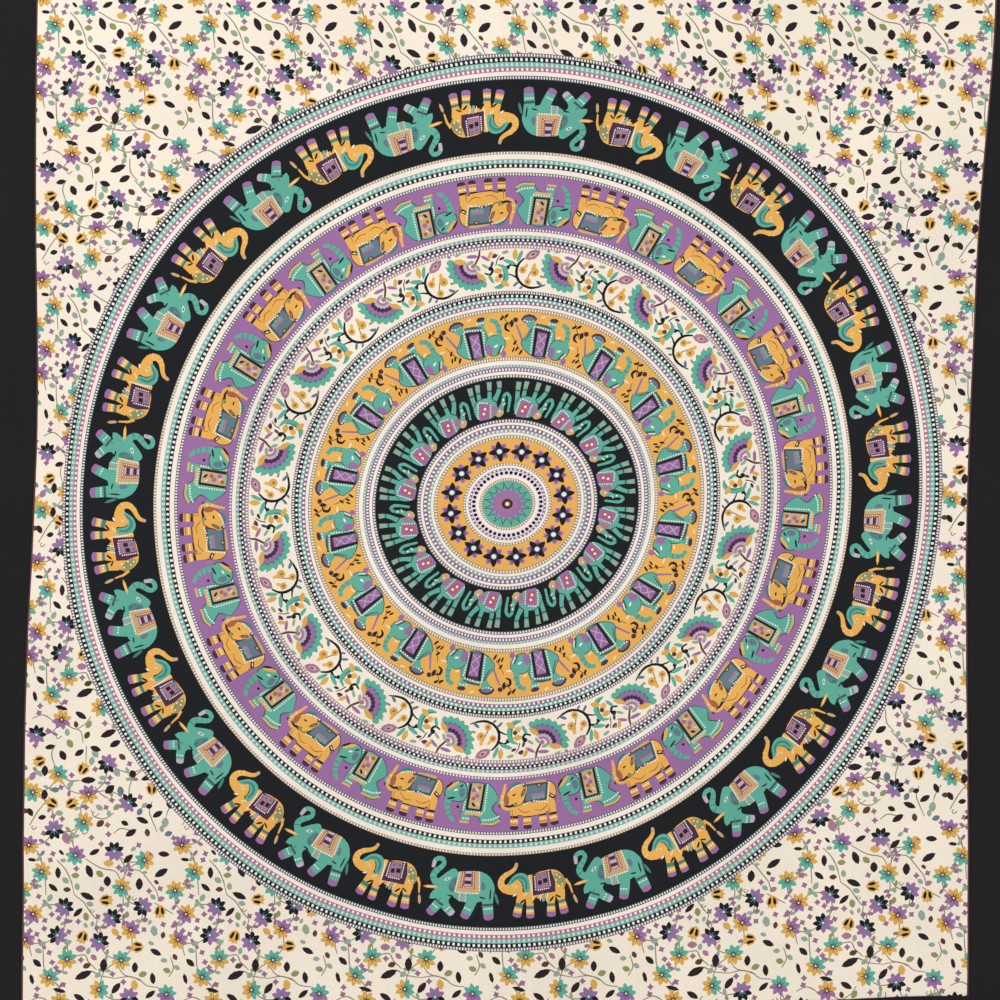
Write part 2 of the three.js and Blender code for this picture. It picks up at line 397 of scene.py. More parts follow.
AMBER_MARCHER = [
    Stroke(D.ORANGE, [(28, 106), (21, 94), (18, 76)], [7, 5, 3]),
    Leaf(D.TAN, [(17, 74), (12, 53)], 7),
    *limb(D.ORANGE, [(44, 86), (42, 66), (40, 42)], [24, 14, 17],
          [(D.SEA, 0.5, 0.61), (D.WHITE, 0.7, 0.7), (D.PURPLE, 0.84, 1.0)]),
    *limb(D.ORANGE, [(62, 84), (64, 62), (66, 40)], [22, 15, 18],
          [(D.SEA, 0.5, 0.61), (D.WHITE, 0.7, 0.7), (D.PURPLE, 0.84, 1.0)]),
    *limb(D.ORANGE, [(103, 88), (106, 64), (107, 41)], [24, 14, 16],
          [(D.SEA, 0.55, 0.67), (D.WHITE, 0.75, 0.75), (D.PURPLE, 0.88, 1.0)]),
    *limb(D.ORANGE, [(118, 90), (127, 68), (133, 45)], [24, 15, 17],
          [(D.SEA, 0.5, 0.66), (D.WHITE, 0.76, 0.76), (D.PURPLE, 0.88, 1.0)]),
    Blob(D.ORANGE, [(28, 99), (32, 115), (44, 127), (60, 130), (80, 128), (95, 123), (106, 123),
                    (112, 104), (108, 84), (94, 76), (76, 73), (56, 77), (38, 84)]),
    Blob(D.ORANGE, [(120, 92), (121, 108), (129, 115), (138, 115), (148, 109), (158, 104),
                    (161, 93), (150, 87), (136, 86)]),
    *limb(D.ORANGE, [(154, 96), (163, 104), (164, 115), (156, 125), (144, 131), (134, 138),
                     (130, 148)], [16, 15, 13, 11, 9, 8, 7],
          [(D.CREAM, 0.16, 0.17), (D.CREAM, 0.28, 0.29), (D.CREAM, 0.4, 0.41),
           (D.CREAM, 0.52, 0.53), (D.TAN, 0.86, 1.0)]),
    Blob(D.TEAL, [(106, 90), (104, 110), (109, 124), (122, 129), (136, 125), (146, 115),
                  (150, 106), (141, 107), (132, 115), (122, 112), (118, 104), (117, 91)]),
    Stroke(D.SEA, [(112, 95), (111, 110), (120, 120), (132, 119), (143, 110)], [3.5, 5, 5, 4, 2]),
    Leaf(D.CREAM, [(99, 72), (104, 124)], 6),
    Leaf(D.TAN, [(101, 74), (105, 121)], 3),
    Shape(D.PLUM, [(56, 129), (50, 105), (52, 84), (99, 81), (97, 123)]),
    Shape(D.MAUVE, [(66, 127), (64, 96), (89, 92), (89, 123)]),
    *patches(D.DUSK, [(66, 114), (66, 105), (75, 104), (75, 113)],
             [(78, 111), (78, 102), (86, 101), (86, 110)]),
    Disc(D.SLATE, [(71, 121), (82, 118)], 3.4, 8),
    *beads(D.WHITE, 3.8, 2.3, [(62, 128), (61, 95)], [(65, 93), (89, 91)], [(92, 93), (92, 122)]),
    Leaf(D.OLIVE, [(31, 92), (49, 124)], 19, 0.8),
    Disc(D.CREAM, [(39, 112), (47, 107), (36, 97), (44, 94), (45, 118)], 2.2, 6),
    Stroke(D.CREAM, [(68, 84), (73, 68)], [1.8, 1.8]),
    Stroke(D.SAGE, [(75, 84), (79, 69)], [6, 6]),
    Stroke(D.CREAM, [(82, 83), (85, 70)], [1.8, 1.8]),
    *leaves(D.BLACK, (42, 71, 54, 78, 4.5), (56, 76, 67, 65, 5), (90, 79, 101, 65, 5),
            (114, 76, 127, 67, 5)),
    Dots(D.WHITE, [(112, 87), (121, 80)], 3.4, 2.2),
    Leaf(D.CREAM, [(130, 101), (142, 105)], 5.5),
    Leaf(D.RUST, [(133, 102), (140, 104)], 2.6),
    Leaf(D.WHITE, [(131, 87), (141, 83)], 4),
]

TEAL_MARCHER = [
    Leaf(D.SEA, [(36, 92), (28, 66)], 7),
    *limb(D.TEAL, [(52, 98), (50, 70), (47, 41)], [30, 22, 19],
          [(D.STEEL, 0.52, 0.6), (D.WHITE, 0.68, 0.68), (D.PURPLE, 0.85, 1.0)]),
    *limb(D.TEAL, [(78, 92), (84, 66), (94, 42)], [26, 20, 18],
          [(D.WHITE, 0.68, 0.68), (D.PURPLE, 0.86, 1.0)]),
    *limb(D.TEAL, [(142, 84), (136, 62), (120, 46)], [26, 18, 15],
          [(D.WHITE, 0.72, 0.72), (D.LILAC, 0.87, 1.0)]),
    *limb(D.TEAL, [(132, 92), (146, 66), (162, 42)], [28, 20, 17],
          [(D.STEEL, 0.5, 0.57), (D.WHITE, 0.7, 0.7), (D.PURPLE, 0.86, 1.0)]),
    Blob(D.TEAL, [(36, 94), (42, 116), (54, 128), (72, 134), (95, 133), (116, 130), (128, 112),
                  (130, 88), (112, 74), (84, 69), (56, 76)]),
    Blob(D.TEAL, [(114, 112), (117, 130), (126, 136), (136, 131), (146, 122), (156, 112),
                  (163, 108), (163, 94), (156, 82), (138, 84), (120, 92)]),
    Leaf(D.TEAL, [(146, 92), (168, 69)], 17, 0.6),
    *limb(D.TEAL, [(160, 103), (168, 113), (166, 124), (157, 133), (150, 142), (153, 151),
                   (163, 152), (171, 146), (172, 134)], [15, 14, 13, 11, 10, 9.5, 9, 9, 8],
          [(D.SEA, 0.1, 0.12), (D.SEA, 0.22, 0.235), (D.SEA, 0.34, 0.355), (D.SEA, 0.46, 0.475),
           (D.SEA, 0.58, 0.595), (D.LILAC, 0.86, 1.0)]),
    Leaf(D.ORANGE, [(153, 95), (186, 91)], 7.5),
    Leaf(D.CREAM, [(158, 95), (178, 92)], 2),
    Blob(D.SEA, [(117, 92), (115, 108), (119, 120), (128, 112), (133, 98), (127, 88)]),
    Leaf(D.STEEL, [(119, 112), (128, 92)], 5),
    Leaf(D.WHITE, [(131, 117), (144, 110)], 6.5),
    Leaf(D.BLACK, [(134, 116), (141, 111)], 3),
    Shape(D.TAN, [(69, 134), (66, 88), (120, 88), (115, 131)]),
    *beads(D.WHITE, 4.4, 2.5, [(70, 131), (68, 91)], [(72, 89), (117, 89)], [(118, 92), (113, 130)]),
    Shape(D.RUST, [(80, 134), (78, 98), (110, 98), (107, 132)]),
    *beads(D.CREAM, 3.8, 2.1, [(83, 133), (81, 101)], [(84, 100), (104, 100)],
           [(107, 102), (104, 132)]),
    Shape(D.LILAC, [(87, 134), (86, 103), (101, 103), (100, 133)]),
    *patches(D.PLUM, [(87, 128.5), (87, 121), (100.5, 121), (100, 128)],
             [(86.5, 114), (86.2, 107), (101, 107), (101, 114)]),
    Shape(D.SAGE, [(97, 88), (96, 71), (107, 71), (108, 88)]),
    *beads(D.WHITE, 3.8, 2, [(96, 86), (95.5, 71)], [(108, 86), (108, 72)]),
    Blob(D.SLATE, [(56, 98), (58, 110), (64, 112), (64, 96)]),
    Blob(D.SLATE, [(121, 100), (122, 112), (129, 108), (128, 97)]),
    *leaves(D.DUSK, (54, 79, 68, 82, 4), (119, 80, 134, 81, 4)),
    Leaf(D.BLACK, [(46, 74), (44, 100)], 4),
    *strokes(D.SEA, [2.5, 1.5], [(60, 66), (58, 50)], [(146, 74), (152, 58)]),
]

TEAL_PORTER = [
    Leaf(D.PLUM, [(12, 74), (9, 56)], 5),
    Stroke(D.TEAL, [(22, 90), (13, 74), (10, 64)], [7, 5, 3]),
    Blob(D.STEEL, [(12, 78), (19, 91), (29, 104), (42, 107), (80, 107), (84, 62), (70, 44),
                   (52, 36), (44, 22), (20, 21), (8, 33), (13, 43), (24, 56), (18, 68)]),
    Blob(D.TEAL, [(13.5, 78), (20, 90), (30, 102.5), (42, 105), (79, 105), (82, 62), (69, 45),
                  (50, 37), (44, 26), (22, 26), (11, 34), (15, 42), (27, 56), (20, 68)]),
    *limb(D.TEAL, [(78, 62), (78, 48), (78, 28)], [14, 12, 17]),
    Dots(D.WHITE, [(12, 40), (18, 37), (24, 34.5), (34, 33), (46, 32)], 4.6, 2.8),
    Stroke(D.ORANGE, [(9, 33), (22, 24.5), (45, 24.5)], [3.6, 3.6, 3.6]),
    Dots(D.WHITE, [(71, 33), (86, 33)], 4.6, 2.8),
    Stroke(D.ORANGE, [(70, 25.5), (87, 25.5)], [4, 4]),
    Shape(D.TAN, [(46, 104), (51, 51), (76, 52), (73, 104)]),
    *patches(D.DUSK, [(41, 105), (46, 50), (51, 50), (46, 105)],
             [(71, 105), (74, 50), (79, 51), (77, 105)]),
    Stroke(D.DUSK, [(47, 52), (77, 53)], [3.5, 3.5]),
    *beads(D.WHITE, 4.6, 2.6, [(37, 104), (41, 47)], [(81, 103), (83, 50)], [(45, 46.5), (80, 47.5)]),
    Stroke(D.ORANGE, [(46, 42.5), (80, 43)], [4, 4]),
    Disc(D.RUST, [(54, 98), (65, 75)], 4.2, 8),
    Disc(D.PURPLE, [(58, 81), (66, 92)], 5, 8),
    Leaf(D.DUSK, [(60, 58), (68, 67)], 6),
    *leaves(D.CREAM, (56, 90, 64, 97, 3), (52, 61, 58, 69, 3)),
    Blob(D.STEEL, [(79, 76), (80, 96), (90, 107), (107, 107), (121, 98), (128, 84), (124, 70),
                   (104, 64), (88, 66)]),
    Blob(D.TEAL, [(81, 77), (82, 95), (91, 105), (106, 105), (119, 97), (126, 84), (122, 72),
                  (104, 66), (89, 68)]),
    *limb(D.TEAL, [(116, 74), (117, 60), (114, 46), (109, 34), (98, 25)], [15, 12, 10, 8, 6],
          [(D.SEA, 0.3, 0.33), (D.SEA, 0.5, 0.53), (D.SEA, 0.7, 0.73)]),
    Stroke(D.SEA, [(83, 74), (86, 56), (89, 37)], [2, 2, 1.5]),
    Shape(D.ORANGE, [(103, 107), (124, 90), (120, 85), (100, 102)]),
    *leaves(D.DUSK, (112, 104, 128, 87, 6), (89, 101, 98, 94, 4.5)),
    Blob(D.SLATE, [(84, 80), (86, 92), (95, 92), (97, 82), (91, 74)]),
    Leaf(D.WHITE, [(100, 90), (109, 86)], 4.5),
    Leaf(D.DUSK, [(102, 73.5), (121, 67)], 5),
    Disc(D.DUSK, [(95, 55)], 3, 8),
]

AMBER_PORTER = [
    Stroke(D.MAUVE, [(11, 84), (7, 70), (8, 56)], [4, 4, 3]),
    *limb(D.ORANGE, [(24, 66), (23, 40), (22, 17)], [20, 15, 16],
          [(D.DUSK, 0.52, 0.62), (D.WHITE, 0.71, 0.71), (D.RUST, 0.8, 0.84), (D.PLUM, 0.89, 1.0)]),
    *limb(D.ORANGE, [(45, 56), (43, 38), (43, 16)], [18, 14, 15],
          [(D.DUSK, 0.44, 0.56), (D.WHITE, 0.67, 0.67), (D.RUST, 0.77, 0.81), (D.PLUM, 0.87, 1.0)]),
    *limb(D.ORANGE, [(74, 56), (74, 38), (74, 16)], [18, 15, 16],
          [(D.DUSK, 0.44, 0.56), (D.WHITE, 0.67, 0.67), (D.RUST, 0.77, 0.81), (D.PLUM, 0.87, 1.0)]),
    *limb(D.ORANGE, [(98, 62), (99, 40), (100, 16)], [20, 15, 16],
          [(D.DUSK, 0.49, 0.6), (D.WHITE, 0.7, 0.7), (D.RUST, 0.79, 0.83), (D.PLUM, 0.88, 1.0)]),
    *edged(D.DUSK, Blob(D.ORANGE, [(10, 78), (11, 92), (20, 102), (44, 106), (72, 104), (100, 78),
                                   (106, 56), (92, 42), (60, 38), (28, 44), (16, 62)])),
    *limb(D.ORANGE, [(24, 62), (23, 52), (23, 42)], [17, 15, 15]),
    *limb(D.ORANGE, [(45, 52), (44, 46), (43.5, 39)], [15, 14, 14]),
    *limb(D.ORANGE, [(74, 52), (74, 46), (74, 38)], [15, 15, 15]),
    *limb(D.ORANGE, [(98, 60), (98.5, 50), (99, 42)], [17, 15, 15]),
    Stroke(D.RUST, [(30, 56), (44, 47), (58, 50)], [1.4, 2, 1.2]),
    Stroke(D.RUST, [(66, 48), (80, 46), (92, 56)], [1.2, 2, 1.4]),
    *strokes(D.RUST, [1.2, 1.6, 1.2], [(28, 52), (28, 40), (27, 32)],
             [(103, 54), (103, 42), (102, 32)]),
    Leaf(D.TAN, [(22, 106), (74, 105)], 6, 1),
    Shape(D.DUSK, [(12, 71), (22, 79), (26, 72), (16, 65)]),
    Leaf(D.CREAM, [(15, 70), (23, 75)], 3),
    Shape(D.STEEL, [(23, 102), (31, 66), (80, 64), (78, 103)]),
    Shape(D.SLATE, [(28, 98), (34, 70), (74, 69), (74, 99)]),
    Shape(D.MAUVE, [(34, 82), (36, 72), (60, 72), (62, 82)]),
    Disc(D.TEAL, [(38, 74), (47, 73), (56, 74)], 3.6, 8),
    Leaf(D.BROWN, [(36, 99), (50, 97)], 9, 0.8),
    Leaf(D.TAN, [(40, 98), (47, 97.5)], 4, 0.8),
    *beads(D.WHITE, 4.8, 2.6, [(21, 99), (30, 65)], [(31, 62), (47, 65), (63, 69)],
           [(67, 66), (82, 61)]),
    *edged(D.DUSK, Blob(D.ORANGE, [(74, 84), (79, 100), (92, 104), (106, 96), (115, 82), (114, 66),
                                   (102, 60), (84, 64)])),
    Leaf(D.YELLOW, [(71, 99), (86, 75)], 11, 0.7),
    Leaf(D.BROWN, [(73, 96), (84, 78)], 7, 0.7),
    Leaf(D.MAUVE, [(75, 92), (82, 82)], 3, 0.7),
    Blob(D.SEA, [(80, 103), (89, 109), (101, 106), (109, 98), (98, 99), (88, 103)]),
    Dots(D.WHITE, [(77, 103), (92, 101), (106, 93)], 4.4, 2.6),
    Blob(D.RUST, [(109, 66), (110, 80), (117, 86), (121, 76), (117, 66)]),
    *limb(D.ORANGE, [(104, 62), (113, 56), (122, 62), (124, 76), (120, 91), (117, 106)],
          [13, 9, 8, 7, 6, 5], [(D.CREAM, 0.5, 0.52), (D.CREAM, 0.66, 0.68)]),
    Stroke(D.DUSK, [(93, 66), (108, 60), (120, 62)], [5, 5, 2]),
    Leaf(D.OLIVE, [(89, 60), (101, 65)], 8, 0.6),
    Leaf(D.DUSK, [(94, 84), (103, 82)], 4),
]

TEAL_ROAMER = [
    Stroke(D.PURPLE, [(31, 82), (21, 60), (12, 40)], [5, 4, 3]),
    Disc(D.PLUM, [(10, 31)], 5, 8),
    Leaf(D.PLUM, [(20, 30), (51, 27)], 19, 0.9),
    Leaf(D.SLATE, [(23, 31), (48, 29)], 13, 0.9),
    Dots(D.WHITE, [(27, 32), (36, 34), (45, 32)], 4.8, 2.8),
    Shape(D.TEAL, [(34, 66), (37, 48), (28, 36), (47, 31), (46, 90), (36, 88)]),
    *edged(D.STEEL, Blob(D.TEAL, [(24, 74), (30, 85), (42, 94), (60, 100), (82, 98), (92, 76),
                                  (88, 46), (70, 38), (50, 40), (36, 58)])),
    Stroke(D.STEEL, [(30, 72), (38, 60), (44, 48)], [1.4, 2.2, 1.2]),
    *limb(D.TEAL, [(82, 60), (82, 44), (83, 27)], [14, 12, 15]),
    Leaf(D.PLUM, [(74, 26), (92, 24)], 9, 0.9),
    Dots(D.WHITE, [(76, 33), (91, 32)], 4.6, 2.8),
    Shape(D.PLUM, [(50, 99), (49, 44), (81, 44), (80, 98)]),
    Shape(D.PURPLE, [(56, 97), (56, 52), (75, 52), (75, 97)]),
    *strokes(D.LILAC, [1.8, 1.8], [(57, 94), (74, 76)], [(57, 74), (74, 56)], [(74, 94), (57, 76)],
             [(74, 74), (57, 56)]),
    *patches(D.DUSK, [(50, 98), (49, 45), (55, 47), (56, 98)],
             [(76, 98), (76, 47), (81, 45), (81, 98)]),
    *beads(D.WHITE, 4.6, 2.6, [(46.5, 92), (46, 42)], [(84, 93), (84.5, 46)], [(49, 42), (82, 46)]),
    Stroke(D.STEEL, [(50, 36.5), (82, 41)], [3, 3]),
    *edged(D.STEEL, Blob(D.TEAL, [(86, 74), (88, 92), (100, 98), (116, 94), (127, 82), (126, 68),
                                  (112, 60), (95, 62)])),
    Blob(D.PURPLE, [(86, 80), (88, 95), (97, 97), (100, 84), (94, 75)]),
    *limb(D.TEAL, [(116, 70), (117, 56), (115, 42), (110, 33), (100, 29)], [14, 11, 9.5, 9, 8],
          [(D.SEA, 0.3, 0.33), (D.SEA, 0.5, 0.53), (D.SEA, 0.7, 0.73)]),
    Leaf(D.WHITE, [(103, 82), (113, 78)], 5),
    Stroke(D.STEEL, [(111, 96), (120, 80)], [4, 3]),
    Stroke(D.CREAM, [(117, 93), (124, 81)], [3, 2.4]),
    Disc(D.PURPLE, [(124, 96)], 6.5, 9),
    *leaves(D.CREAM, (124, 67, 139, 66, 4.5), (94, 57, 104, 53, 4), (57, 24, 67, 20, 4)),
    *leaves(D.DUSK, (20, 99, 28, 87, 6), (12, 92, 18, 82, 6), (5, 94, 10, 83, 5), (7, 80, 14, 70, 6),
            (0, 42, 4, 30, 6)),
    Stroke(D.DUSK, [(138, 53), (130, 49), (130, 40), (138, 36)], [2, 5, 5, 2]),
    *leaves(D.DUSK, (140, 46, 145, 34, 6), (119, 32, 127, 22, 6), (128, 28, 135, 19, 6)),
    *strokes(D.BROWN, [1.6, 1.6, 1.2], [(22, 88), (12, 76), (4, 60)],
             [(138, 44), (130, 32), (122, 20)]),
]

SLATE_STEPPER = [
    *limb(D.TEAL, [(12, 60), (10, 34), (11, 9)], [12, 8, 9],
          [(D.STEEL, 0.6, 0.66), (D.SAGE, 0.72, 0.94)]),
    *limb(D.TEAL, [(22, 46), (23, 26), (25, 7)], [9, 7, 8.5],
          [(D.STEEL, 0.5, 0.57), (D.SAGE, 0.65, 0.93)]),
    *limb(D.TEAL, [(41, 48), (44, 26), (46, 6)], [9, 7, 8.5],
          [(D.STEEL, 0.5, 0.57), (D.SAGE, 0.65, 0.93)]),
    *limb(D.TEAL, [(50, 46), (59, 32), (63, 20), (63, 7)], [11, 8, 7.5, 8.5],
          [(D.STEEL, 0.6, 0.66), (D.SAGE, 0.72, 0.94)]),
    Blob(D.TEAL, [(5, 66), (10, 76), (24, 80), (42, 78), (54, 66), (54, 48), (44, 38), (20, 38),
                  (7, 48)]),
    Shape(D.PURPLE, [(10, 79), (37, 80), (44, 49), (18, 44)]),
    Shape(D.ROSE, [(16, 73), (32, 74), (37, 54), (22, 50)]),
    Disc(D.WHITE, [(24, 67), (29, 58)], 3, 8),
    *beads(D.WHITE, 4.2, 2.3, [(9, 73), (18, 43)], [(37, 76), (43, 48)], [(22, 43), (38, 48)]),
    Blob(D.MAUVE, [(44, 58), (44, 72), (51, 77), (58, 73), (57, 60), (51, 54)]),
    Stroke(D.STEEL, [(8, 50), (16, 40), (30, 36)], [1.6, 2, 1.4]),
    Stroke(D.PLUM, [(46, 40), (56, 50), (60, 60)], [1.6, 2, 1.4]),
    Blob(D.TAN, [(51, 76), (60, 79), (69, 71), (66, 61), (58, 62)]),
    *limb(D.TEAL, [(62, 64), (68, 52), (70, 39), (76, 32), (82, 40), (81, 55), (78, 70)],
          [12, 8, 6, 6, 6, 5.5, 5], [(D.SEA, 0.3, 0.33), (D.SEA, 0.45, 0.48)]),
    Disc(D.WHITE, [(69, 45), (60, 68)], 2, 6),
    Leaf(D.CREAM, [(66, 56), (75, 52)], 3),
]

# ---- Flowers, drawn the same way -----------------------------------------------------------------

# A scallop's height, as a share of its layer's radius.
SCALLOP = 0.1


def fan(centre: Point, spans: Sequence[tuple[Dye, float, int]], start: float, end: float) -> list[Shape]:
    """Draws a fan flower in scalloped layers, the widest first.

    Args:
        centre: The flower's middle.
        spans: Each layer's colour, radius and number of scallops.
        start: The fan's first angle, in degrees.
        end: Its last angle.

    Returns:
        The layers.
    """
    shapes = []
    for dye, radius, scallops in spans:
        edge = [centre]
        for i in range(scallops * 4 + 1):
            angle = math.radians(start + (end - start) * i / (scallops * 4))
            reach = radius * (1 - SCALLOP + SCALLOP * abs(math.sin(math.pi * i / 4)))
            edge.append((centre[0] + reach * math.cos(angle), centre[1] + reach * math.sin(angle)))
        shapes.append(Shape(dye, edge))
    return shapes


FAN_BLOOM = [
    Stroke(D.BROWN, [(66, 38), (75, 25), (79, 10)], [4, 4, 3]),
    *fan((62, 38), [(D.TEAL, 52, 9), (D.SEA, 40, 9), (D.PURPLE, 37, 8), (D.PLUM, 28, 8),
                    (D.LILAC, 20, 7), (D.MAUVE, 14, 6), (D.CREAM, 9, 5)], 58, 207),
    *leaves(D.YELLOW, (66, 54, 87, 73, 11), (52, 31, 25, 22, 12)),
    *leaves(D.SAGE, (50, 34, 66, 30, 9), (68, 38, 76, 52, 8)),
    Disc(D.MAUVE, [(63, 40)], 5, 9),
    *leaves(D.PURPLE, (51, 19, 76, 22, 9), (79, 21, 98, 34, 8)),
    Leaf(D.YELLOW, [(93, 31), (102, 14)], 9),
    Stroke(D.BLACK, [(84, 57), (95, 61), (101, 53), (95, 46)], [3, 5, 5, 4]),
    Disc(D.BLACK, [(97, 49)], 5, 9),
    Leaf(D.TEAL, [(91, 60), (102, 80)], 9),
    Leaf(D.SAGE, [(80, 38), (93, 49)], 7),
    Leaf(D.STEEL, [(103, 34), (98, 47)], 7),
    Leaf(D.SAGE, [(30, 14), (44, 10)], 6),
    Disc(D.MAUVE, [(20, 12), (106, 22)], 3.4, 6),
]

CURL_BLOOM = [
    Stroke(D.BLACK, [(65, 30), (54, 42), (50, 56), (53, 72), (65, 84), (82, 89), (100, 86),
                     (114, 80)], [3, 5, 6, 6, 5, 5, 4, 2]),
    Stroke(D.BLACK, [(52, 70), (40, 64), (29, 61)], [4, 3, 1.5]),
    Stroke(D.BLACK, [(51, 47), (40, 43), (32, 48)], [4.5, 4.5, 4]),
    Disc(D.BLACK, [(32, 49)], 4.4, 9),
    Stroke(D.TEAL, [(2, 88), (18, 86), (28, 70), (26, 50), (12, 42)], [3, 9, 12, 9, 3]),
    Stroke(D.SEA, [(6, 87), (19, 81), (25, 68), (22, 52)], [1.5, 3, 3, 1.5]),
    *leaves(D.YELLOW, (16, 76, 36, 86, 12), (2, 56, 22, 54, 12)),
    Leaf(D.ORANGE, [(4, 76), (18, 66)], 13, 0.7),
    Disc(D.BROWN, [(17, 65)], 5, 9),
    Stroke(D.BROWN, [(8, 44), (11, 33), (17, 24)], [2.4, 2, 1.6]),
    *leaves(D.PLUM, (1, 28, 13, 22, 8), (15, 33, 26, 28, 7)),
    Leaf(D.SAGE, [(20, 20), (35, 16)], 8),
    *leaves(D.TEAL, (50, 43, 22, 33, 10), (51, 39, 61, 13, 9)),
    Leaf(D.YELLOW, [(46, 35), (47, 11)], 11),
    Leaf(D.MAUVE, [(66, 32), (95, 13)], 19, 0.5),
    Leaf(D.PINK, [(73, 28), (88, 18)], 9, 0.5),
    Leaf(D.PLUM, [(78, 24), (85, 20)], 4, 0.5),
    Stroke(D.BROWN, [(74, 71), (80, 55), (87, 40)], [2, 2, 2]),
    Disc(D.YELLOW, [(75, 77)], 7.5, 10),
    Disc(D.YELLOW, [(88, 57)], 9, 10),
    Disc(D.YELLOW, [(63, 54)], 7.5, 10),
    *leaves(D.ORANGE, (86, 52, 86, 38, 9), (66, 51, 73, 41, 8)),
    Disc(D.RUST, [(75, 77), (88, 58), (63, 54)], 3, 7),
    *leaves(D.SLATE, (43, 88, 56, 77, 7), (57, 92, 66, 86, 6), (93, 74, 109, 85, 8)),
    Leaf(D.SAGE, [(98, 30), (112, 38)], 7),
    Leaf(D.PLUM, [(100, 48), (112, 56)], 7),
    Leaf(D.OLIVE, [(99, 64), (110, 66)], 6),
]

# ---- Flowered ground: one tile of the repeat, x to the right and y down, in millimetres -----------

TILE_WIDTH = 315.1
TILE_HEIGHT = 580.0
# The corner of one tile, from the medallion's centre, to the right and up.
TILE_LEFT = -967.8
TILE_TOP = 1043.1
# The ground runs this far in under the medallion's rim, and this far past the panel's edges.
RIM_LAP = 45
EDGE_LAP = 30

# Star flowers: their middle, the angle that the first colour faces, and the two colours.
STARS = [
    (3, 9, 100, D.PURPLE, D.YELLOW), (98, 31, 60, D.PURPLE, D.TEAL), (177, 23, 90, D.BLACK, D.PURPLE),
    (240, 41, 180, D.TEAL, D.YELLOW), (29, 64, 55, D.YELLOW, D.TEAL), (193, 97, 60, D.YELLOW, D.TEAL),
    (304, 103, 80, D.YELLOW, D.TEAL), (75, 137, 50, D.BLACK, D.PURPLE),
    (237, 136, 40, D.PURPLE, D.BLACK),
    (12, 151, 50, D.YELLOW, D.PURPLE), (173, 160, 40, D.BLACK, D.PURPLE),
    (212, 184, 50, D.PURPLE, D.YELLOW),
    (62, 195, 160, D.BLACK, D.PURPLE), (147, 209, 55, D.BLACK, D.PURPLE),
    (82, 244, 90, D.TEAL, D.YELLOW),
    (193, 247, 80, D.TEAL, D.YELLOW), (46, 281, 55, D.TEAL, D.YELLOW), (148, 307, 180, D.YELLOW, D.TEAL),
    (210, 322, 95, D.PURPLE, D.BLACK), (68, 332, 80, D.YELLOW, D.PURPLE),
    (16, 363, 70, D.BLACK, D.PURPLE),
    (287, 316, 75, D.TEAL, D.PURPLE), (268, 372, 60, D.TEAL, D.YELLOW),
    (311, 203, 40, D.PURPLE, D.YELLOW),
    (163, 423, 55, D.PURPLE, D.BLACK), (62, 444, 45, D.TEAL, D.YELLOW), (10, 481, 40, D.YELLOW, D.TEAL),
    (124, 486, 90, D.PURPLE, D.YELLOW), (114, 543, 50, D.YELLOW, D.TEAL),
    (54, 558, 95, D.PURPLE, D.BLACK),
    (206, 503, 50, D.BLACK, D.PURPLE), (300, 465, 10, D.YELLOW, D.TEAL),
    (252, 425, 75, D.BLACK, D.PURPLE),
]

# Opening buds: their middle and the angle that they open towards.
BUDS = [
    (160, 123, 0), (273, 145, 270), (113, 198, 250), (227, 219, 180), (24, 417, 200), (113, 434, 60),
    (50, 504, 150), (89, 505, 30), (255, 475, 90), (281, 402, 160),
]

# Dark leaves: stalk end, tip and width.
DARK_LEAVES = [
    (126, 30, 145, 20, 9), (64, 19, 73, 29, 6), (0, 38, 17, 40, 7), (62, 54, 63, 76, 10),
    (121, 50, 131, 74, 12), (163, 73, 164, 93, 13), (196, 47, 214, 31, 10), (268, 27, 290, 29, 10),
    (261, 75, 286, 60, 12), (230, 77, 229, 100, 13), (43, 89, 60, 103, 9), (108, 108, 134, 120, 11),
    (94, 157, 111, 141, 9), (13, 243, 28, 257, 10), (8, 273, 13, 293, 8), (157, 243, 156, 268, 13),
    (98, 285, 129, 271, 13), (222, 250, 221, 270, 11), (257, 271, 260, 293, 10),
    (174, 315, 190, 295, 11),
    (244, 324, 262, 310, 9), (53, 304, 78, 311, 8), (96, 316, 117, 329, 10), (148, 368, 177, 355, 12),
    (167, 388, 187, 377, 11), (253, 223, 274, 234, 10), (34, 390, 53, 386, 9), (66, 395, 76, 413, 12),
    (96, 406, 113, 395, 10), (127, 388, 147, 395, 10), (35, 425, 34, 446, 12), (108, 457, 136, 456, 12),
    (158, 484, 175, 469, 13), (34, 475, 34, 494, 12), (21, 534, 36, 531, 9), (0, 513, 9, 528, 10),
    (232, 456, 258, 447, 10), (211, 436, 218, 450, 12), (287, 495, 295, 513, 10),
    (223, 533, 246, 543, 10),
    (257, 532, 276, 521, 10), (200, 572, 221, 559, 11), (191, 541, 205, 548, 9), (243, 512, 255, 508, 9),
]

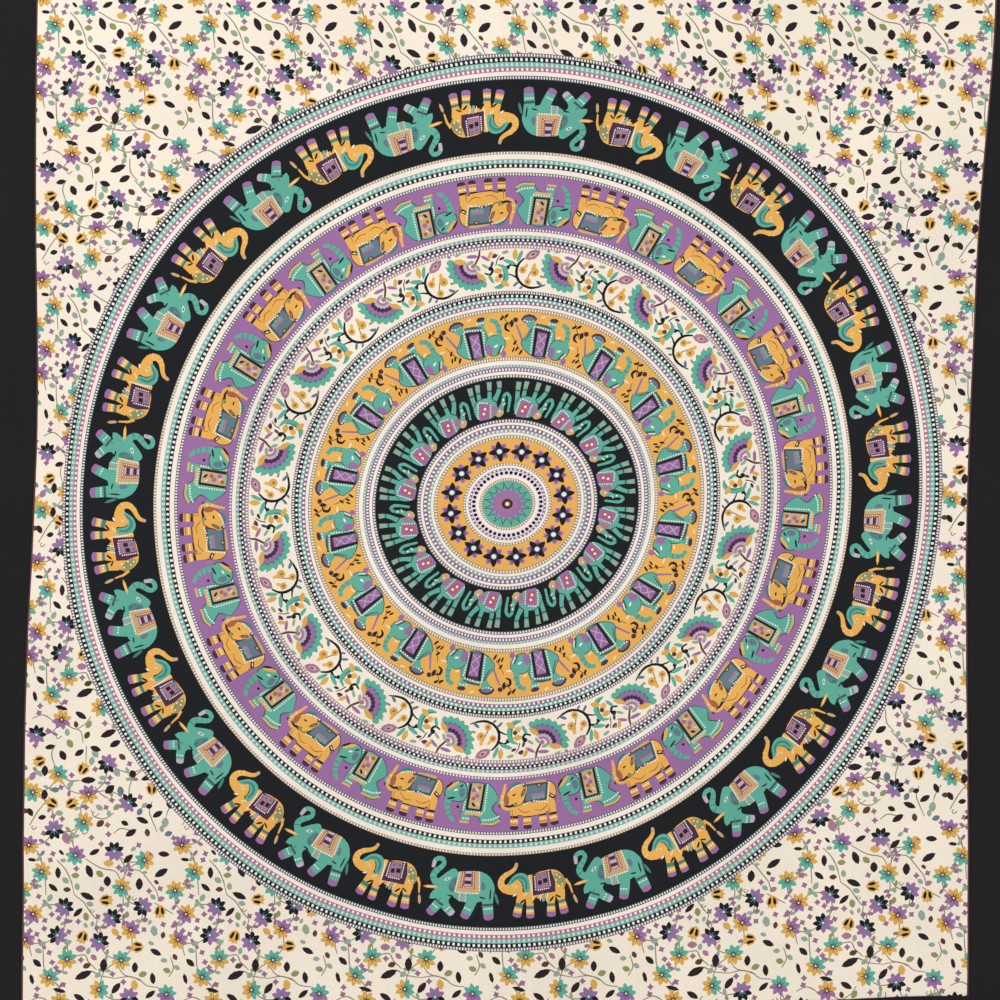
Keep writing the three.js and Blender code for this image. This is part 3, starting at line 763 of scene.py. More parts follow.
# Smaller marks, by colour: middle and radius.
ROUND_LEAVES = {
    D.BROWN: [(81, 101, 6.5), (265, 86, 5), (98, 342, 6), (121, 364, 7), (122, 258, 7), (233, 374, 7),
              (305, 239, 6), (280, 194, 6), (148, 546, 8), (310, 519, 6.5), (193, 409, 7), (246, 564, 7)],
    D.OLIVE: [(98, 72, 7), (148, 69, 7.5), (120, 157, 7.5), (124, 342, 7.5), (238, 275, 7.5),
              (288, 267, 7), (86, 381, 8), (204, 153, 6), (182, 512, 7)],
    D.SAGE: [(73, 41, 5.5), (78, 82, 7), (102, 95, 6.5), (46, 118, 7), (36, 131, 6), (128, 131, 6.5),
             (119, 175, 5), (133, 172, 5), (217, 18, 5.5), (241, 66, 4.5), (258, 116, 6), (261, 185, 9),
             (252, 168, 5), (32, 212, 6.5), (24, 226, 6.5), (81, 209, 7), (125, 228, 6), (145, 277, 6.5),
             (282, 246, 6), (309, 261, 6), (80, 358, 6.5), (176, 345, 6), (230, 356, 6), (255, 211, 5.5),
             (138, 402, 8), (131, 417, 7.5), (87, 465, 6.5), (64, 524, 7), (146, 513, 7), (166, 526, 6),
             (213, 392, 6), (234, 405, 6), (278, 440, 6.5), (182, 441, 8), (283, 543, 9), (240, 508, 6),
             (153, 452, 6), (18, 440, 6), (276, 556, 6)],
    D.SLATE: [(56, 476, 7), (308, 430, 6), (190, 479, 8.5), (230, 521, 7), (290, 566, 7)],
    D.MAUVE: [(109, 223, 8.5), (136, 241, 6.5), (78, 575, 10), (9, 448, 8), (275, 120, 6.5)],
    D.YELLOW: [(166, 47, 9), (180, 189, 8), (221, 297, 9)],
}

# Four-petalled florets: middle and turn, in degrees.
FLORETS = [
    (52, 27, 20), (47, 40, 60), (14, 83, 0), (17, 95, 40), (23, 115, 20), (50, 152, 0), (36, 164, 30),
    (64, 160, 10), (80, 166, 45), (104, 167, 0), (35, 181, 15), (85, 188, 20), (6, 185, 0),
    (20, 192, 30), (142, 180, 10), (187, 56, 0), (209, 70, 20), (250, 104, 0), (273, 99, 30),
    (193, 143, 10), (144, 157, 35), (242, 162, 0), (280, 172, 20), (240, 183, 45), (305, 170, 10),
    (150, 8, 0), (228, 10, 30), (52, 250, 10), (60, 261, 0), (46, 230, 25), (110, 246, 0),
    (188, 200, 20), (175, 275, 10), (198, 291, 0), (75, 296, 30), (22, 304, 0), (20, 318, 25),
    (157, 340, 0), (235, 337, 20), (212, 353, 0), (215, 372, 30), (40, 355, 10), (305, 341, 20),
    (90, 446, 0), (68, 471, 20), (138, 434, 10), (168, 452, 0), (119, 513, 0), (160, 513, 30),
    (172, 498, 10), (70, 536, 0), (52, 530, 20), (163, 549, 10), (219, 405, 0), (208, 423, 30),
    (276, 459, 10), (297, 434, 0), (231, 491, 20), (14, 385, 0), (260, 400, 20), (165, 568, 0),
    (33, 565, 20), (301, 575, 10), (130, 575, 0), (252, 30, 0), (100, 58, 0), (152, 100, 20),
]

STALKS = [
    [(20, 26), (29, 44), (36, 78), (38, 112)], [(60, 40), (78, 60), (90, 85), (96, 112)],
    [(96, 112), (116, 128), (130, 150), (143, 164)], [(118, 38), (150, 57), (180, 64), (191, 84)],
    [(196, 62), (229, 62), (250, 84), (266, 106), (271, 126)], [(143, 164), (139, 182), (146, 192)],
    [(33, 214), (34, 240), (36, 262), (46, 272)], [(98, 238), (118, 236), (125, 250), (142, 266)],
    [(110, 272), (132, 269), (150, 279), (182, 284)], [(182, 284), (212, 280), (236, 290)],
    [(188, 262), (200, 277), (230, 285), (246, 298), (270, 302)], [(128, 326), (116, 342), (100, 352)],
    [(188, 340), (190, 368), (205, 386)], [(74, 340), (92, 350), (108, 356), (113, 380)],
    [(56, 384), (48, 402), (55, 426)], [(120, 386), (119, 418)], [(74, 452), (88, 458), (106, 457)],
    [(136, 470), (150, 486), (168, 496)], [(198, 384), (214, 402), (232, 420)],
    [(4, 548), (20, 521), (36, 500)], [(256, 500), (250, 520), (257, 541), (266, 562)],
    [(130, 518), (136, 532), (158, 536), (176, 524)], [(302, 498), (290, 516), (285, 532)],
    [(6, 330), (26, 322), (44, 330), (60, 346)], [(292, 280), (302, 262), (296, 240)],
    [(262, 128), (282, 140), (300, 150)], [(212, 560), (190, 556), (176, 566)],
    [(280, 340), (286, 352), (278, 362)], [(16, 200), (6, 216), (10, 236)],
]

CURLS = [(158, 217, 8), (61, 365, 8), (115, 562, 8), (137, 525, 9), (276, 345, 8), (132, 144, 6),
         (218, 118, 7), (12, 552, 7), (262, 190, 7)]

# A vine joins flowers at least this far apart, and bends aside by this share of its length.
VINE_GAP = 30
VINE_BEND = 0.2
# A vine's leaf reaches this far along the vine and away from it, and is this wide.
VINE_LEAF = (7, 12, 8.5)
# A round leaf is an oval: half its length and its whole width, as shares of its radius.
OVAL_REACH = 1.25
OVAL_WIDTH = 1.7
# The dark leaves are printed longer and wider than they are listed, by these shares.
DARK_LONGER = 0.12
DARK_WIDER = 1.22


def star(x: float, y: float, facing: float, near: Dye, far: Dye) -> list[Shape]:
    """Draws a star flower whose two halves are in two colours.

    Args:
        x: Its middle across the tile.
        y: Its middle down the tile.
        facing: The angle that the first colour faces, in degrees, counted upwards.
        near: The first colour.
        far: The second colour.

    Returns:
        The two halves, its eye last.
    """
    shapes: list[Shape] = [
        Shape(far, _petals(x, y, facing + 90, 8)),
        Shape(near, _petals(x, y, facing - 90, 4)),
    ]
    shade = D.SLATE if D.BLACK in (near, far) else D.BROWN if D.TEAL not in (near, far) else D.STEEL
    shapes.append(Shape(shade, spiked(x, y, facing, 22.5, (12.4, 4.2), 16)))
    shapes.append(Disc(D.WHITE if shade is D.SLATE else D.CREAM, [(x, y)], 2.4, 5))
    return shapes


def spiked(x: float, y: float, turn: float, step: float, reaches: Sequence[float],
           count: int) -> Outline:
    """Draws a pointed outline on the tile.

    Args:
        x: Its middle across the tile.
        y: Its middle down the tile.
        turn: The angle of its first point, in degrees, counted upwards.
        step: From one point to the next, in degrees.
        reaches: The points' distances from its middle, taken by turns.
        count: How many points it has.

    Returns:
        The points.
    """
    edge: Outline = []
    for k in range(count):
        angle = math.radians(turn + step * k)
        reach = reaches[k % len(reaches)]
        edge.append((x + reach * math.cos(angle), y - reach * math.sin(angle)))
    return edge


def _petals(x: float, y: float, start: float, petals: int) -> Outline:
    """Draws some of a star flower's eight pointed petals, closed through its middle."""
    edge = spiked(x, y, start, 11.25, (13.8, 18.0, 21.4, 18.0), petals * 4 + 1)
    return [*edge, (x, y)] if petals < 8 else edge[:-1]


def bud(x: float, y: float, facing: float) -> list[Shape]:
    """Draws a yellow bud with two dark lobes in it.

    Args:
        x: Its middle across the tile.
        y: Its middle down the tile.
        facing: The angle that it opens towards, in degrees, counted upwards.

    Returns:
        The bud, its lobes and its rib.
    """
    def at(along: float, across: float) -> Point:
        """Finds a point along the bud and across it."""
        a = math.radians(facing)
        return (x + along * math.cos(a) - across * math.sin(a),
                y - along * math.sin(a) - across * math.cos(a))

    return [
        Shape(D.YELLOW, [at(-13, 0), at(-8, 9), at(4, 13), at(8, 8), at(14, 10), at(12, 3), at(17, 0),
                         at(12, -3), at(14, -10), at(8, -8), at(4, -13), at(-8, -9)]),
        Leaf(D.BLACK, [at(-9, 3), at(8, 7)], 8),
        Leaf(D.BLACK, [at(-9, -3), at(8, -7)], 8),
        Leaf(D.ORANGE, [at(-12, 0), at(12, 0)], 5),
    ]


def floret(x: float, y: float, turn: float) -> Shape:
    """Draws a small four-petalled floret, turned by some degrees."""
    return Shape(D.HEATHER, spiked(x, y, turn, 45, (7.2, 4.2), 8))


def vines() -> list[Shape]:
    """Draws stems from each star flower to its two nearest neighbours, with a few small leaves.

    Returns:
        The stems, each with the two leaves on it.
    """
    shapes: list[Shape] = []
    joined = set()
    on, off, wide = VINE_LEAF
    dyes = (D.SAGE, D.HEATHER, D.OLIVE, D.HEATHER, D.SAGE)
    places = [(n, s[0] + TILE_WIDTH * i, s[1] + TILE_HEIGHT * j)
              for n, s in enumerate(STARS) for i in (-1, 0, 1) for j in (-1, 0, 1)]
    for number, flower in enumerate(STARS):
        ax, ay = flower[0], flower[1]
        near = sorted((math.hypot(x - ax, y - ay), n, x, y) for n, x, y in places)
        for gap, other, bx, by in [spot for spot in near if spot[0] > VINE_GAP][:2]:
            pair = (min(number, other), max(number, other))
            if pair in joined:
                continue
            joined.add(pair)
            way = (bx - ax) / gap, (by - ay) / gap
            bend = gap * (VINE_BEND if len(joined) % 2 else -VINE_BEND)
            mid = (ax + bx) / 2 - way[1] * bend, (ay + by) / 2 + way[0] * bend
            shapes.append(Stroke(D.STEM, [(ax, ay), mid, (bx, by)], [1.9, 2.4, 1.9]))
            for side in (1, -1):
                tip = (mid[0] + way[0] * on * side - way[1] * off * side,
                       mid[1] + way[1] * on * side + way[0] * off * side)
                dye = dyes[(len(joined) * 2 + side) % len(dyes)]
                shapes.append(Leaf(dye, [mid, tip], wide, 0.4))
    return shapes


def tile() -> list[Shape]:
    """Draws one tile of the flowered ground.

    Returns:
        Its shapes, the stems first and the star flowers last.
    """
    shapes: list[Shape] = [Stroke(D.STEM, line, [2.0, 2.5, 1.8]) for line in STALKS]
    shapes += vines()
    for x, y, size in CURLS:
        ring = [(x + size * (1 - k / 9) * math.cos(k * 0.8), y + size * (1 - k / 9) * math.sin(k * 0.8))
                for k in range(8)]
        shapes.append(Stroke(D.STEM, ring[::2], [1.9, 1.9, 1.5]))
    for x, y, turn in FLORETS:
        shapes.append(floret(x, y, turn))
    for dye, spots in ROUND_LEAVES.items():
        for number, (x, y, size) in enumerate(spots):
            lean = math.radians(40 * number)
            dx, dy = OVAL_REACH * size * math.cos(lean), OVAL_REACH * size * math.sin(lean)
            shapes.append(Leaf(dye, [(x - dx, y - dy), (x + dx, y + dy)], size * OVAL_WIDTH, 0.6))
    for x0, y0, x1, y1, width in DARK_LEAVES:
        tip = (x1 + (x1 - x0) * DARK_LONGER, y1 + (y1 - y0) * DARK_LONGER)
        shapes.append(Leaf(D.DUSK, [(x0, y0), tip], width * DARK_WIDER, 0.6))
    for x, y, facing in BUDS:
        shapes += bud(x, y, facing)
    for x, y, facing, near, far in STARS:
        shapes += star(x, y, facing, near, far)
    return shapes


# ---- Medallion -----------------------------------------------------------------------------------

# The medallion was drawn a little small, and is printed slightly taller than it is wide.
MEDALLION_SCALE = 1.007
MEDALLION_STRETCH = 1.02


@dataclass(frozen=True)
class Band:
    """A ring of one motif, repeated once in each sector.

    Attributes:
        shapes: The motif.
        start: The clockwise angle, in sectors, of its left edge.
        base: The radius of its y = 0, in millimetres. Its y axis points to the centre.
        middle: The radius at which its width is true.
    """

    shapes: Sequence[Shape]
    start: float
    base: float
    middle: float

    def place(self, sector: int) -> Callable[[Point], Point]:
        """Gives the map from the motif to the flat cloth, for one sector.

        Args:
            sector: The sector's number, counted clockwise.

        Returns:
            A function from a point of the motif to one of the cloth, in millimetres.
        """
        first = math.pi - 2 * math.pi * (self.start + sector) / SECTORS

        def to_cloth(point: Point) -> Point:
            """Bends one point round the medallion."""
            radius = (self.base - point[1]) * MEDALLION_SCALE
            angle = first - point[0] / self.middle
            return radius * math.cos(angle), radius * math.sin(angle) * MEDALLION_STRETCH

        return to_cloth


def rosette() -> list[Shape]:
    """Draws a rosette of eight petals, black and purple by turns, round a white eye.

    Returns:
        Its petals and its eye, about the origin.
    """
    tips = [(23.0 * math.cos(math.pi * k / 4), 23.0 * math.sin(math.pi * k / 4)) for k in range(8)]
    shapes: list[Shape] = [Leaf(D.PINK, [(0, 0), tip], 15.0, 0.4) for tip in tips[1::2]]
    shapes += [Leaf(D.PURPLE, [(0, 0), (x * 0.94, y * 0.94)], 13.2, 0.4) for x, y in tips[1::2]]
    shapes += [Leaf(D.PLUM, [(0, 0), (x * 0.7, y * 0.7)], 4.0, 0.2) for x, y in tips[1::2]]
    shapes += [Leaf(D.BLACK, [(0, 0), tip], 12.6, 0.2) for tip in tips[::2]]
    shapes.append(Disc(D.BLACK, [(0, 0)], 9.5, 12))
    return [*shapes, Disc(D.SLATE, [(0, 0)], 6.6, 12), Disc(D.WHITE, [(0, 0)], 5.0, 12)]


ROSETTE = rosette()
ROSETTE_START = 11.54
ROSETTE_RADIUS = 115.5

BANDS = [
    Band(AMBER_MARCHER, 11.45, 878.7, 800.7),
    Band(TEAL_MARCHER, 11.9, 878.7, 800.7),
    Band(TEAL_PORTER, 10.95, 673.4, 615.9),
    Band(AMBER_PORTER, 11.46, 673.4, 615.9),
    Band(CURL_BLOOM, 10.75, 529.7, 484.5),
    Band(FAN_BLOOM, 11.225, 529.7, 484.5),
    Band(TEAL_ROAMER, 10.95, 408.5, 353.1),
    Band(SLATE_STEPPER, 11.01, 266.9, 220.7),
]


@dataclass(frozen=True)
class Ring:
    """A plain or dotted ring of the medallion, in millimetres from its centre.

    Attributes:
        outer: Its outer radius. It runs in to the next ring's.
        dye: Its colour.
        dots: How many dots it has.
        spot: The dots' colour.
        long: The dots' length as a share of their pitch.
        turn: How far the dots are moved on round the ring, in pitches.
    """

    outer: float
    dye: tuple[float, float, float]
    dots: int = 0
    spot: tuple[float, float, float] = (0.9, 0.87, 0.8)
    long: float = 0.5
    turn: float = 0.0


SMOKE = linear(112, 104, 112)
PALE = linear(244, 240, 232)
SHELL = linear(250, 236, 222)
BLUSH = linear(184, 112, 142)
JADE = linear(130, 178, 164)
SAND = linear(168, 146, 112)
MIST = linear(150, 166, 160)
THISTLE = linear(136, 108, 136)
FROST = linear(206, 226, 214)

RINGS = [
    Ring(911.7, SMOKE, 944, PALE), Ring(904.5, D.BLACK.value, 544, PALE),
    Ring(895.8, JADE, 544, FROST), Ring(886.3, BLUSH, 544, PALE),
    Ring(878.0, SHELL), Ring(870.4, D.STEEL.value, 944, PALE),
    Ring(863.1, D.BLACK.value), Ring(718.4, SAND, 704, PALE), Ring(712.8, SHELL),
    Ring(702.9, JADE, 416, FROST), Ring(693.8, D.BLACK.value, 416, PALE),
    Ring(685.3, SHELL), Ring(675.8, SMOKE, 704, PALE), Ring(668.8, D.PURPLE.value),
    Ring(563.4, THISTLE, 544, PALE), Ring(556.9, SHELL), Ring(549.1, MIST, 352, FROST),
    Ring(542.3, D.BLACK.value, 352, PALE), Ring(536.3, THISTLE, 352, PALE, 0.5, 0.5),
    Ring(529.9, linear(172, 142, 140), 544, PALE), Ring(522.8, D.GROUND.value),
    Ring(436.8, SMOKE, 512, PALE), Ring(430.2, D.BLACK.value, 272, PALE),
    Ring(423.0, JADE, 272, PALE), Ring(416.4, THISTLE, 272, PALE, 0.5, 0.5),
    Ring(409.1, SHELL), Ring(403.6, SAND, 432, PALE), Ring(395.7, D.ORANGE.value),
    Ring(308.5, SAND, 352, PALE), Ring(301.0, SHELL), Ring(293.0, MIST, 272, FROST),
    Ring(287.8, THISTLE, 272, PALE, 0.5, 0.5), Ring(279.7, SHELL), Ring(273.9, SMOKE, 272, PALE),
    Ring(267.5, D.BLACK.value), Ring(183.8, SMOKE, 176, PALE), Ring(176.6, SHELL),
    Ring(171.4, THISTLE, 112, PALE), Ring(162.7, MIST, 112, PALE, 0.5, 0.5), Ring(155.7, SHELL),
    Ring(150.3, SAND, 144, PALE), Ring(142.7, D.ORANGE.value), Ring(90.6, SAND, 88, PALE),
    Ring(84.4, SHELL), Ring(79.2, THISTLE, 56, PALE),
    Ring(74.0, linear(236, 220, 228), 44, D.BLACK.value, 0.66),
    Ring(63.0, SHELL), Ring(57.0, SAND, 64, PALE), Ring(50.5, D.TEAL.value),
]


def heart() -> list[tuple[Dye, Outline]]:
    """Draws the pointed flower in the middle of the medallion.

    Returns:
        Each outline's dye and points, the lowest first.
    """
    shapes = []
    for k in range(SECTORS):
        angle = 2 * math.pi * (k + 0.5) / SECTORS
        way, side = (math.cos(angle), math.sin(angle)), (-math.sin(angle), math.cos(angle))
        for dye, reach, half in ((D.STEEL, 49.0, 6.6), (D.TEAL, 44.0, 4.6)):
            shapes.append((dye, [(28 * way[0] - half * side[0], 28 * way[1] - half * side[1]),
                                 (reach * way[0], reach * way[1]),
                                 (28 * way[0] + half * side[0], 28 * way[1] + half * side[1])]))
    for dye, reach, inner in ((D.PURPLE, 39.0, 27.0), (D.MAUVE, 27.0, 15.0), (D.PURPLE, 19.0, 12.0)):
        edge = []
        for k in range(2 * SECTORS):
            angle = math.pi * k / SECTORS
            size = reach if k % 2 == 0 else inner
            edge.append((size * math.cos(angle), size * math.sin(angle)))
        shapes.append((dye, edge))
    for dye, radius in ((D.DUSK, 11.0), (D.BROWN, 8.0), (D.CREAM, 4.4)):
        shapes.append((dye, regular((0, 0), radius, 16)))
    return shapes


def printed_shapes() -> list[tuple[Dye, Outline]]:
    """Lists every printed outline on the flat cloth, the lowest first.

    Returns:
        Each outline's dye and points, in millimetres from the medallion's centre.
    """
    rim = RINGS[0].outer
    drawn = ground_shapes(rim)
    drawn.append((Dye.GROUND, [(x, y * MEDALLION_STRETCH) for x, y in regular((0, 0), rim, 512, 0.0)]))
    for sector in range(SECTORS):
        for band in BANDS:
            place = band.place(sector)
            for shape in band.shapes:
                drawn += [(shape.dye, [place(p) for p in outline]) for outline in shape.outlines()]
        drawn += rosette_shapes(sector)
    return [*drawn, *((dye, [(x, y * MEDALLION_STRETCH) for x, y in edge]) for dye, edge in heart())]


def ground_shapes(rim: float) -> list[tuple[Dye, Outline]]:
    """Repeats the tile over the panel, outside the medallion.

    Args:
        rim: The medallion's radius.

    Returns:
        Each outline's dye and points.
    """
    half_w, half_h = PRINT.width * 500 + EDGE_LAP, PRINT.height * 500 + EDGE_LAP
    drawn: list[tuple[Dye, Outline]] = []
    for shape in tile():
        for outline in shape.outlines():
            for column in range(-1, 7):
                for row in range(-1, 4):
                    left = TILE_LEFT + TILE_WIDTH * column
                    top = TILE_TOP - TILE_HEIGHT * row
                    moved = [(left + x, top - y) for x, y in outline]
                    x, y = moved[0]
                    on_panel = abs(x) <= half_w and abs(y) <= half_h
                    if on_panel and math.hypot(x, y / MEDALLION_STRETCH) >= rim - RIM_LAP:
                        drawn.append((shape.dye, moved))
    return drawn


def rosette_shapes(sector: int) -> list[tuple[Dye, Outline]]:
    """Lays one rosette on the innermost yellow band, every second one turned a little.

    Args:
        sector: The sector's number, counted clockwise.

    Returns:
        Each outline's dye and points.
    """
    angle = math.pi - 2 * math.pi * (ROSETTE_START + sector) / SECTORS
    x = ROSETTE_RADIUS * MEDALLION_SCALE * math.cos(angle)
    y = ROSETTE_RADIUS * MEDALLION_SCALE * math.sin(angle)
    turn = angle + math.radians(11) * (sector % 2)
    drawn = []
    for shape in ROSETTE:
        for outline in shape.outlines():
            spun = [(x + p * math.cos(turn) - q * math.sin(turn),
                     (y + p * math.sin(turn) + q * math.cos(turn)) * MEDALLION_STRETCH)
                    for p, q in outline]
            drawn.append((shape.dye, spun))
    return drawn


# ---- The cloth and the way it hangs --------------------------------------------------------------


@dataclass(frozen=True)
class Print:
    """The printed panel, flat, in metres.

    Attributes:
        width: Across.
        height: Down. The medallion's centre is half way.
        centre_z: The height of the medallion's centre in the part's frame.
        front: The y of the panel's front, where the cloth hangs flat.
        aside: How far the medallion was printed to the right of the panel's middle.
        lap: How far each border lies over the panel's edge.
        seam_shade_width: The width of the painted seam shadow, a dark line just inside each side border's
            edge.
    """

    width: float
    height: float
    centre_z: float
    front: float
    aside: float = 0.006
    lap: float = 0.010
    seam_shade_width: float = 0.0032


def measure_print() -> Print:
    """Reads the printed panel's size from the frame."""
    low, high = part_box("printed_panel")
    return Print(width=high[0] - low[0], height=high[2] - low[2], centre_z=(low[2] + high[2]) / 2,
                 front=low[1])


PRINT = measure_print()


def ease(value: np.ndarray, start: float, end: float) -> np.ndarray:
    """Gives how far each value has risen, smoothly, from 0 at start to 1 at end."""
    share = np.clip((value - start) / (end - start), 0, 1)
    return share * share * (3 - 2 * share)


@dataclass(frozen=True)
class Fold:
    """A run of soft folds.

    Attributes:
        height: From flat to the top of a fold, in metres.
        length: From one fold to the next.
        lean: The folds' slope from upright.
        phase: Where they start, in turns.
        low: The lowest height they reach, from the medallion's centre.
        high: The highest.
    """

    height: float
    length: float
    lean: float
    phase: float
    low: float
    high: float


@dataclass(frozen=True)
class Crease:
    """A line pressed in by the way the cloth was folded for storage.

    Attributes:
        upright: Whether it runs up and down.
        place: Where it lies, from the medallion's centre.
        height: How far it stands out.
        start: One end, along its length.
        end: Its other end.
    """

    upright: bool
    place: float
    height: float
    start: float
    end: float


@dataclass(frozen=True)
class Drape:
    """The way the whole cloth hangs from its rod: nearly flat, a little askew.

    Attributes:
        skew: How far it hangs sideways for each metre down.
        flare: How far its right edge is pulled out just below the rod.
        kick: How far its lower part swings back.
        shift: How far the middle of the print is printed to the right.
        twist: How far the print leans to the right above its middle and to the left below.
        widen: How much wider the inner rings are printed, as a share of their width.
        tuck: How far the right side is drawn in at half height.
        gather: How far the left seam is drawn in at half height.
        squat: How much shorter the print is, as a share of its height.
        settle: How far the top of the print sags.
        lift: How far the lower right is drawn up.
        push: How far the middle of the medallion hangs to the right.
        sag: How far the middle of the medallion hangs down.
        squeeze: How much shorter the innermost rings are, as a share of their height.
        crease_width: How far a crease spreads to each side.
        folds: Its soft folds.
        creases: Its storage creases.
    """

    skew: float = 0.0195
    flare: float = 0.028
    kick: float = 0.010
    shift: float = 0.001
    twist: float = 0.022
    widen: float = 0.008
    tuck: float = 0.010
    gather: float = 0.016
    squat: float = 0.013
    settle: float = 0.0045
    lift: float = 0.032
    push: float = 0.008
    sag: float = 0.006
    squeeze: float = 0.07
    crease_width: float = 0.022
    folds: Sequence[Fold] = (
        Fold(0.0022, 0.46, 0.10, 0.15, -1.3, 1.0), Fold(0.0016, 0.29, -0.16, 0.60, -1.3, 0.95),
        Fold(0.0012, 0.19, 0.30, 0.05, -0.2, 0.98), Fold(0.0015, 0.37, 1.60, 0.40, -1.3, 0.2),
        Fold(0.0009, 0.13, -0.05, 0.30, 0.45, 1.02), Fold(0.0010, 0.24, -0.70, 0.85, -1.2, 0.5),
    )
    creases: Sequence[Crease] = (
        Crease(True, 0.012, 0.0013, 0.30, 1.1), Crease(True, -0.48, 0.0007, -0.6, 0.7),
        Crease(True, 0.49, -0.0007, -1.1, 0.3), Crease(False, 0.52, 0.0009, -0.9, 0.9),
        Crease(False, 0.02, -0.0010, -1.0, 0.6), Crease(False, -0.47, 0.0009, -0.8, 1.0),
        Crease(False, 0.80, -0.0006, -0.5, 0.9), Crease(False, -0.76, -0.0007, -1.0, 0.7),
    )

    def place(self, u: np.ndarray, v: np.ndarray, depth: np.ndarray | float = 0.0) -> np.ndarray:
        """Carries points of the flat cloth to where they hang.

        Args:
            u: Across, from the cloth's middle.
            v: Up, from the medallion's centre.
            depth: Behind the panel's front, in metres.

        Returns:
            One row of x, y and z for each point.
        """
        u, v = np.asarray(u, float), np.asarray(v, float)
        right = ease(u, 0.70, 0.98)
        out = self.flare * right * ease(v, 0.35, 1.05) ** 1.4 * (1 - 0.45 * ease(v, 1.03, 1.15))
        x = u + self.skew * (v + PRINT.centre_z) + out + self.kick * ease(-v, 0.2, 1.1)
        z = v + PRINT.centre_z

        # The middle of the medallion sags a little towards the lower right.
        across, up = u - PRINT.aside, v / MEDALLION_STRETCH
        reach = np.hypot(across, up)
        pull = 1 - ease(reach, 0.10, 0.86)
        x = x + self.push * pull
        z = z - self.sag * pull - self.squeeze * v * (1 - ease(reach, 0.03, 0.46))

        # The cloth was stretched a little askew when it was printed and hemmed.
        calm = (1 - ease(v, 0.85, 1.04)) * (1 - ease(-v, 0.85, 1.10))
        middle = (1 - ease(np.abs(u - 0.08), 0.40, 0.90)) * calm
        x = x + middle * (self.shift + self.twist * np.where(v > 0, v, 0.3 * v))
        x = x + self.widen * u * (1 - ease(reach, 0.45, 0.70))
        x = x - self.tuck * ease(u, 0.62, 0.85) * np.exp(-(((v + 0.05) / 0.40) ** 2))
        x = x + self.gather * ease(-u, 0.84, 0.97) * np.exp(-(((v - 0.15) / 0.42) ** 2))
        centre = (1 - ease(np.abs(u - 0.13), 0.25, 0.85)) * calm
        squat = self.squat * np.where(v > 0, v, 0.45 * v)
        z = z - centre * (squat + self.settle * ease(v, 0.0, 0.5))
        z = z + self.lift * ease(u, 0.24, 0.92) * ease(-v, -0.70, 0.50)

        y = np.zeros_like(x)
        for fold in self.folds:
            calm = ease(v, fold.low, fold.low + 0.35) * (1 - ease(v, fold.high - 0.45, fold.high))
            turns = (u + fold.lean * v) / fold.length + fold.phase
            y += fold.height * calm * np.sin(2 * math.pi * turns)
        for crease in self.creases:
            off, along = (u, v) if crease.upright else (v, u)
            near = np.exp(-(((off - crease.place) / self.crease_width) ** 2))
            begun = ease(along, crease.start, crease.start + 0.2)
            y += crease.height * near * begun * (1 - ease(along, crease.end - 0.2, crease.end))
        y *= 1 - ease(v, 0.99, 1.05)
        return np.stack([x, PRINT.front + y + depth, z], axis=-1)


DRAPE = Drape()


class Edge(Enum):
    """The cloth's four edges."""

    LEFT = "left"
    RIGHT = "right"
    TOP = "top"
    BOTTOM = "bottom"

    @property
    def upright(self) -> bool:
        """Tells whether it runs up and down."""
        return self in (Edge.LEFT, Edge.RIGHT)

    @property
    def outward(self) -> int:
        """Gives 1 where outwards is to the right or up, and -1 where it is to the left or down."""
        return 1 if self in (Edge.RIGHT, Edge.TOP) else -1


def add_object(name: str, mesh: bpy.types.Mesh) -> bpy.types.Object:
    """Puts a mesh in the scene as a new object of that name, and gives the object."""
    piece = bpy.data.objects.new(name, mesh)
    bpy.context.scene.collection.objects.link(piece)
    return piece


def select_only(piece: bpy.types.Object) -> None:
    """Makes a piece the only selected and the active one."""
    bpy.ops.object.select_all(action="DESELECT")
    piece.select_set(True)
    bpy.context.view_layer.objects.active = piece


def apply_modifier(piece: bpy.types.Object, kind: str, **settings: object) -> None:
    """Adds a modifier to a piece and applies it.

    Args:
        piece: The piece.
        kind: The modifier's type.
        **settings: The modifier's settings.
    """
    modifier = piece.modifiers.new(kind.title(), kind)
    for key, value in settings.items():
        setattr(modifier, key, value)
    select_only(piece)
    bpy.ops.object.modifier_apply(modifier=modifier.name)


def smooth(piece: bpy.types.Object, degrees: float) -> None:
    """Shades a piece smooth, with edges sharper than an angle left hard."""
    select_only(piece)
    bpy.ops.object.shade_smooth_by_angle(angle=math.radians(degrees))


def face_outwards(piece: bpy.types.Object) -> None:
    """Turns all of a piece's faces outwards."""
    select_only(piece)
    bpy.ops.object.mode_set(mode="EDIT")
    bpy.ops.mesh.select_all(action="SELECT")
    bpy.ops.mesh.normals_make_consistent(inside=False)
    bpy.ops.object.mode_set(mode="OBJECT")


def thicken(piece: bpy.types.Object, thickness: float) -> None:
    """Gives a sheet its thickness, to both sides of its middle, and shades it smooth."""
    apply_modifier(piece, "SOLIDIFY", thickness=thickness, offset=0.0)
    face_outwards(piece)
    smooth(piece, 60)


def finish_piece(piece: bpy.types.Object, body: str, material: bpy.types.Material,
                 nodes: Sequence[str]) -> bpy.types.Object:
    """Gives a piece its finish and its body, and hides the frame's pieces that it stands for.

    Args:
        piece: The piece.
        body: The body that it moves with.
        material: Its finish.
        nodes: The frame's pieces.

    Returns:
        The piece.
    """
    piece.data.materials.clear()
    piece.data.materials.append(material)
    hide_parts(*nodes)
    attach(piece, body)
    LOG.info("%s: %d faces, on the %s", piece.name, len(piece.data.polygons), body)
    return piece


Pair = tuple[int, int]
Patch = tuple[Sequence[int], Dye]


def counter_clockwise(outline: Outline) -> Outline:
    """Gives a closed outline's points counter-clockwise."""
    area = sum(a[0] * b[1] - b[0] * a[1] for a, b in zip(outline, [*outline[1:], outline[0]]))
    return outline if area > 0 else outline[::-1]


